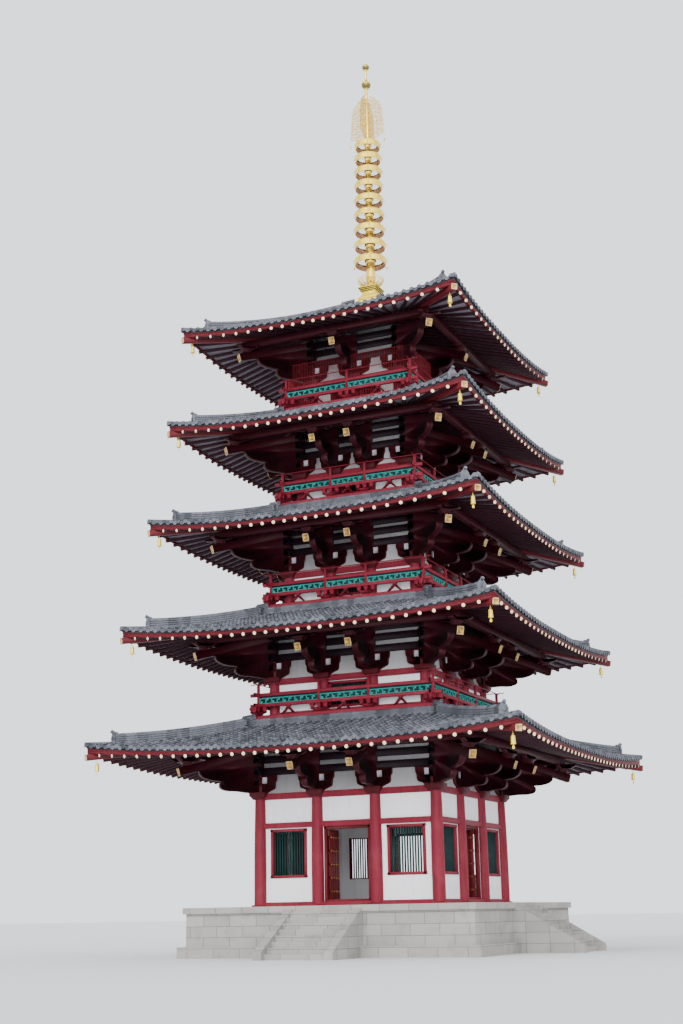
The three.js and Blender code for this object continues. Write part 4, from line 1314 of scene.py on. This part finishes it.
for number, storey in enumerate(STOREYS, 1):
    dress_storey(number, storey)
leaves, studs = door_leaves(FIRST)
piece("door_leaves", leaves, DOOR_RED, "door_timber", ("door_front", "door_right", "door_back", "door_left"))
piece("door_studs", studs, CAP_GILT, "gilt")
piece("rod_screen", rod_screen(LAST), ROD_RED)
piece("finial_box", finial_base(), PALE_GILT, "gilt", ("finial_base",))
piece("finial_shadows", join(cornice_shadows(), ring_shadows()), PAINTED_SHADOW_BRONZE, "gilt")
for name, shape, material, *replaced in (
    ("lotus_cup", lotus_cup(), GILT, "finial_lotus"),
    ("lotus_petals", lotus_petals(), PALE_GILT),
    ("finial_shaft", mast(), MAST_GILT, "finial_mast"),
    ("ring_bands", ring_bands(), PALE_GILT),
    ("ring_linings", ring_linings(), SHADED_ROSE_BRONZE),
    ("ring_hubs", ring_hubs(), GILT),
    ("ring_spokes", ring_spokes(), FLAME_BRONZE),
    # The ear loops take the darker flame bronze rather than the bands' gilding: painted shade on gilt; the
    # chains and tiny bells share it.
    ("finial_bells", finial_bells(), FLAME_BRONZE),
    ("finial_flame_wings", flame(), FLAME_BRONZE, "finial_flame"),
    ("finial_flame_rod", flame_rod(), GILT),
):
    piece(name, shape, material, "gilt", replaced, soft=True)

# CAD nodes whose shape is right keep their mesh and get the finish of their material
kept = {"walls": PLASTER, "floor": VERMILION, "platform": STONE, "steps": STONE}
for name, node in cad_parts.items():
    finish = kept.get(name.split("_")[0])
    if finish:
        node.data.materials.clear()
        node.data.materials.append(finish)


# Floor, light and camera

def floor_plane():
    """A large level floor at the ground, of four corners."""
    mesh = bpy.data.meshes.new("floor")
    corners = [(-400, -400, 0), (400, -400, 0), (400, 400, 0), (-400, 400, 0)]
    mesh.from_pydata(corners, [], [(0, 1, 2, 3)])
    pale = Finish("pale_floor", roughness=0.85)
    pale.set("Base Color", pale.mix(pale.noise(0.05, 2.0) * 0.3, (0.62, 0.62, 0.63), (0.57, 0.57, 0.58)))
    mesh.materials.append(pale.material)
    add("floor", mesh)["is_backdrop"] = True


def lamp(name, kind, energy, pitch, heading):
    """A lamp and its light: pitch is how far it leans from straight down, heading where it comes from."""
    light = bpy.data.lights.new(name, kind)
    light.energy = energy
    made = add(name, light)
    made.rotation_euler = (math.radians(pitch), 0, math.radians(heading))
    return made, light


def studio():
    """An even pale sky, three distant lamps, and a low wide one in front that lights the eaves from
    below. Its narrow beam leaves the floor round it alone."""
    world = bpy.data.worlds.new("studio")
    world.use_nodes = True
    sky = world.node_tree.nodes["Background"].inputs
    sky[0].default_value, sky[1].default_value = (0.93, 0.96, 1.0, 1.0), 1.9
    bpy.context.scene.world = world
    for name, energy, angle, pitch, heading, colour in (
        ("key", 1.3, 0.35, 48, -18, (1.0, 0.97, 0.93)),
        ("fill", 0.6, 1.2, 70, 62, (0.95, 0.97, 1.0)),
        ("low", 3.3, 1.0, 84, 22, (1.0, 0.99, 0.98)),
    ):
        _, light = lamp(name, "SUN", energy, pitch, heading)
        light.angle, light.color = angle, colour
    made, light = lamp("bounce", "AREA", 1560.0, 106, 22)
    light.shape, light.size, light.size_y, light.spread = "RECTANGLE", 30.0, 2.0, math.radians(60)
    made.location = (24.0, -60.0, 1.3)


def set_camera():
    """The photo's camera, solved from the eaves and the railings: it stands in front of the left corner
    and looks up."""
    yaw, pitch, roll = math.radians(24.42), math.radians(15.36), math.radians(-1.03)
    level = np.array([-math.sin(yaw), math.cos(yaw), 0.0])
    right = np.array([math.cos(yaw), math.sin(yaw), 0.0])
    above = -level * math.sin(pitch) + UP * math.cos(pitch)
    place = np.eye(4)
    place[:3, 0] = right * math.cos(roll) + above * math.sin(roll)
    place[:3, 1] = -right * math.sin(roll) + above * math.cos(roll)
    place[:3, 2] = -level * math.cos(pitch) - UP * math.sin(pitch)
    place[:3, 3] = (23.231, -54.738, 1.5)
    camera = add("camera", bpy.data.cameras.new("camera"))
    camera.data.lens, camera.data.sensor_width, camera.data.clip_end = 51.41, 36.0, 2000.0
    camera.matrix_world = Matrix(place.tolist())
    bpy.context.scene.camera = camera


floor_plane()
studio()
set_camera()

boxes = {"cad": cad_box, "visual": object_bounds()}
{name: [list(map(float, corner)) for corner in box] for name, box in boxes.items()}
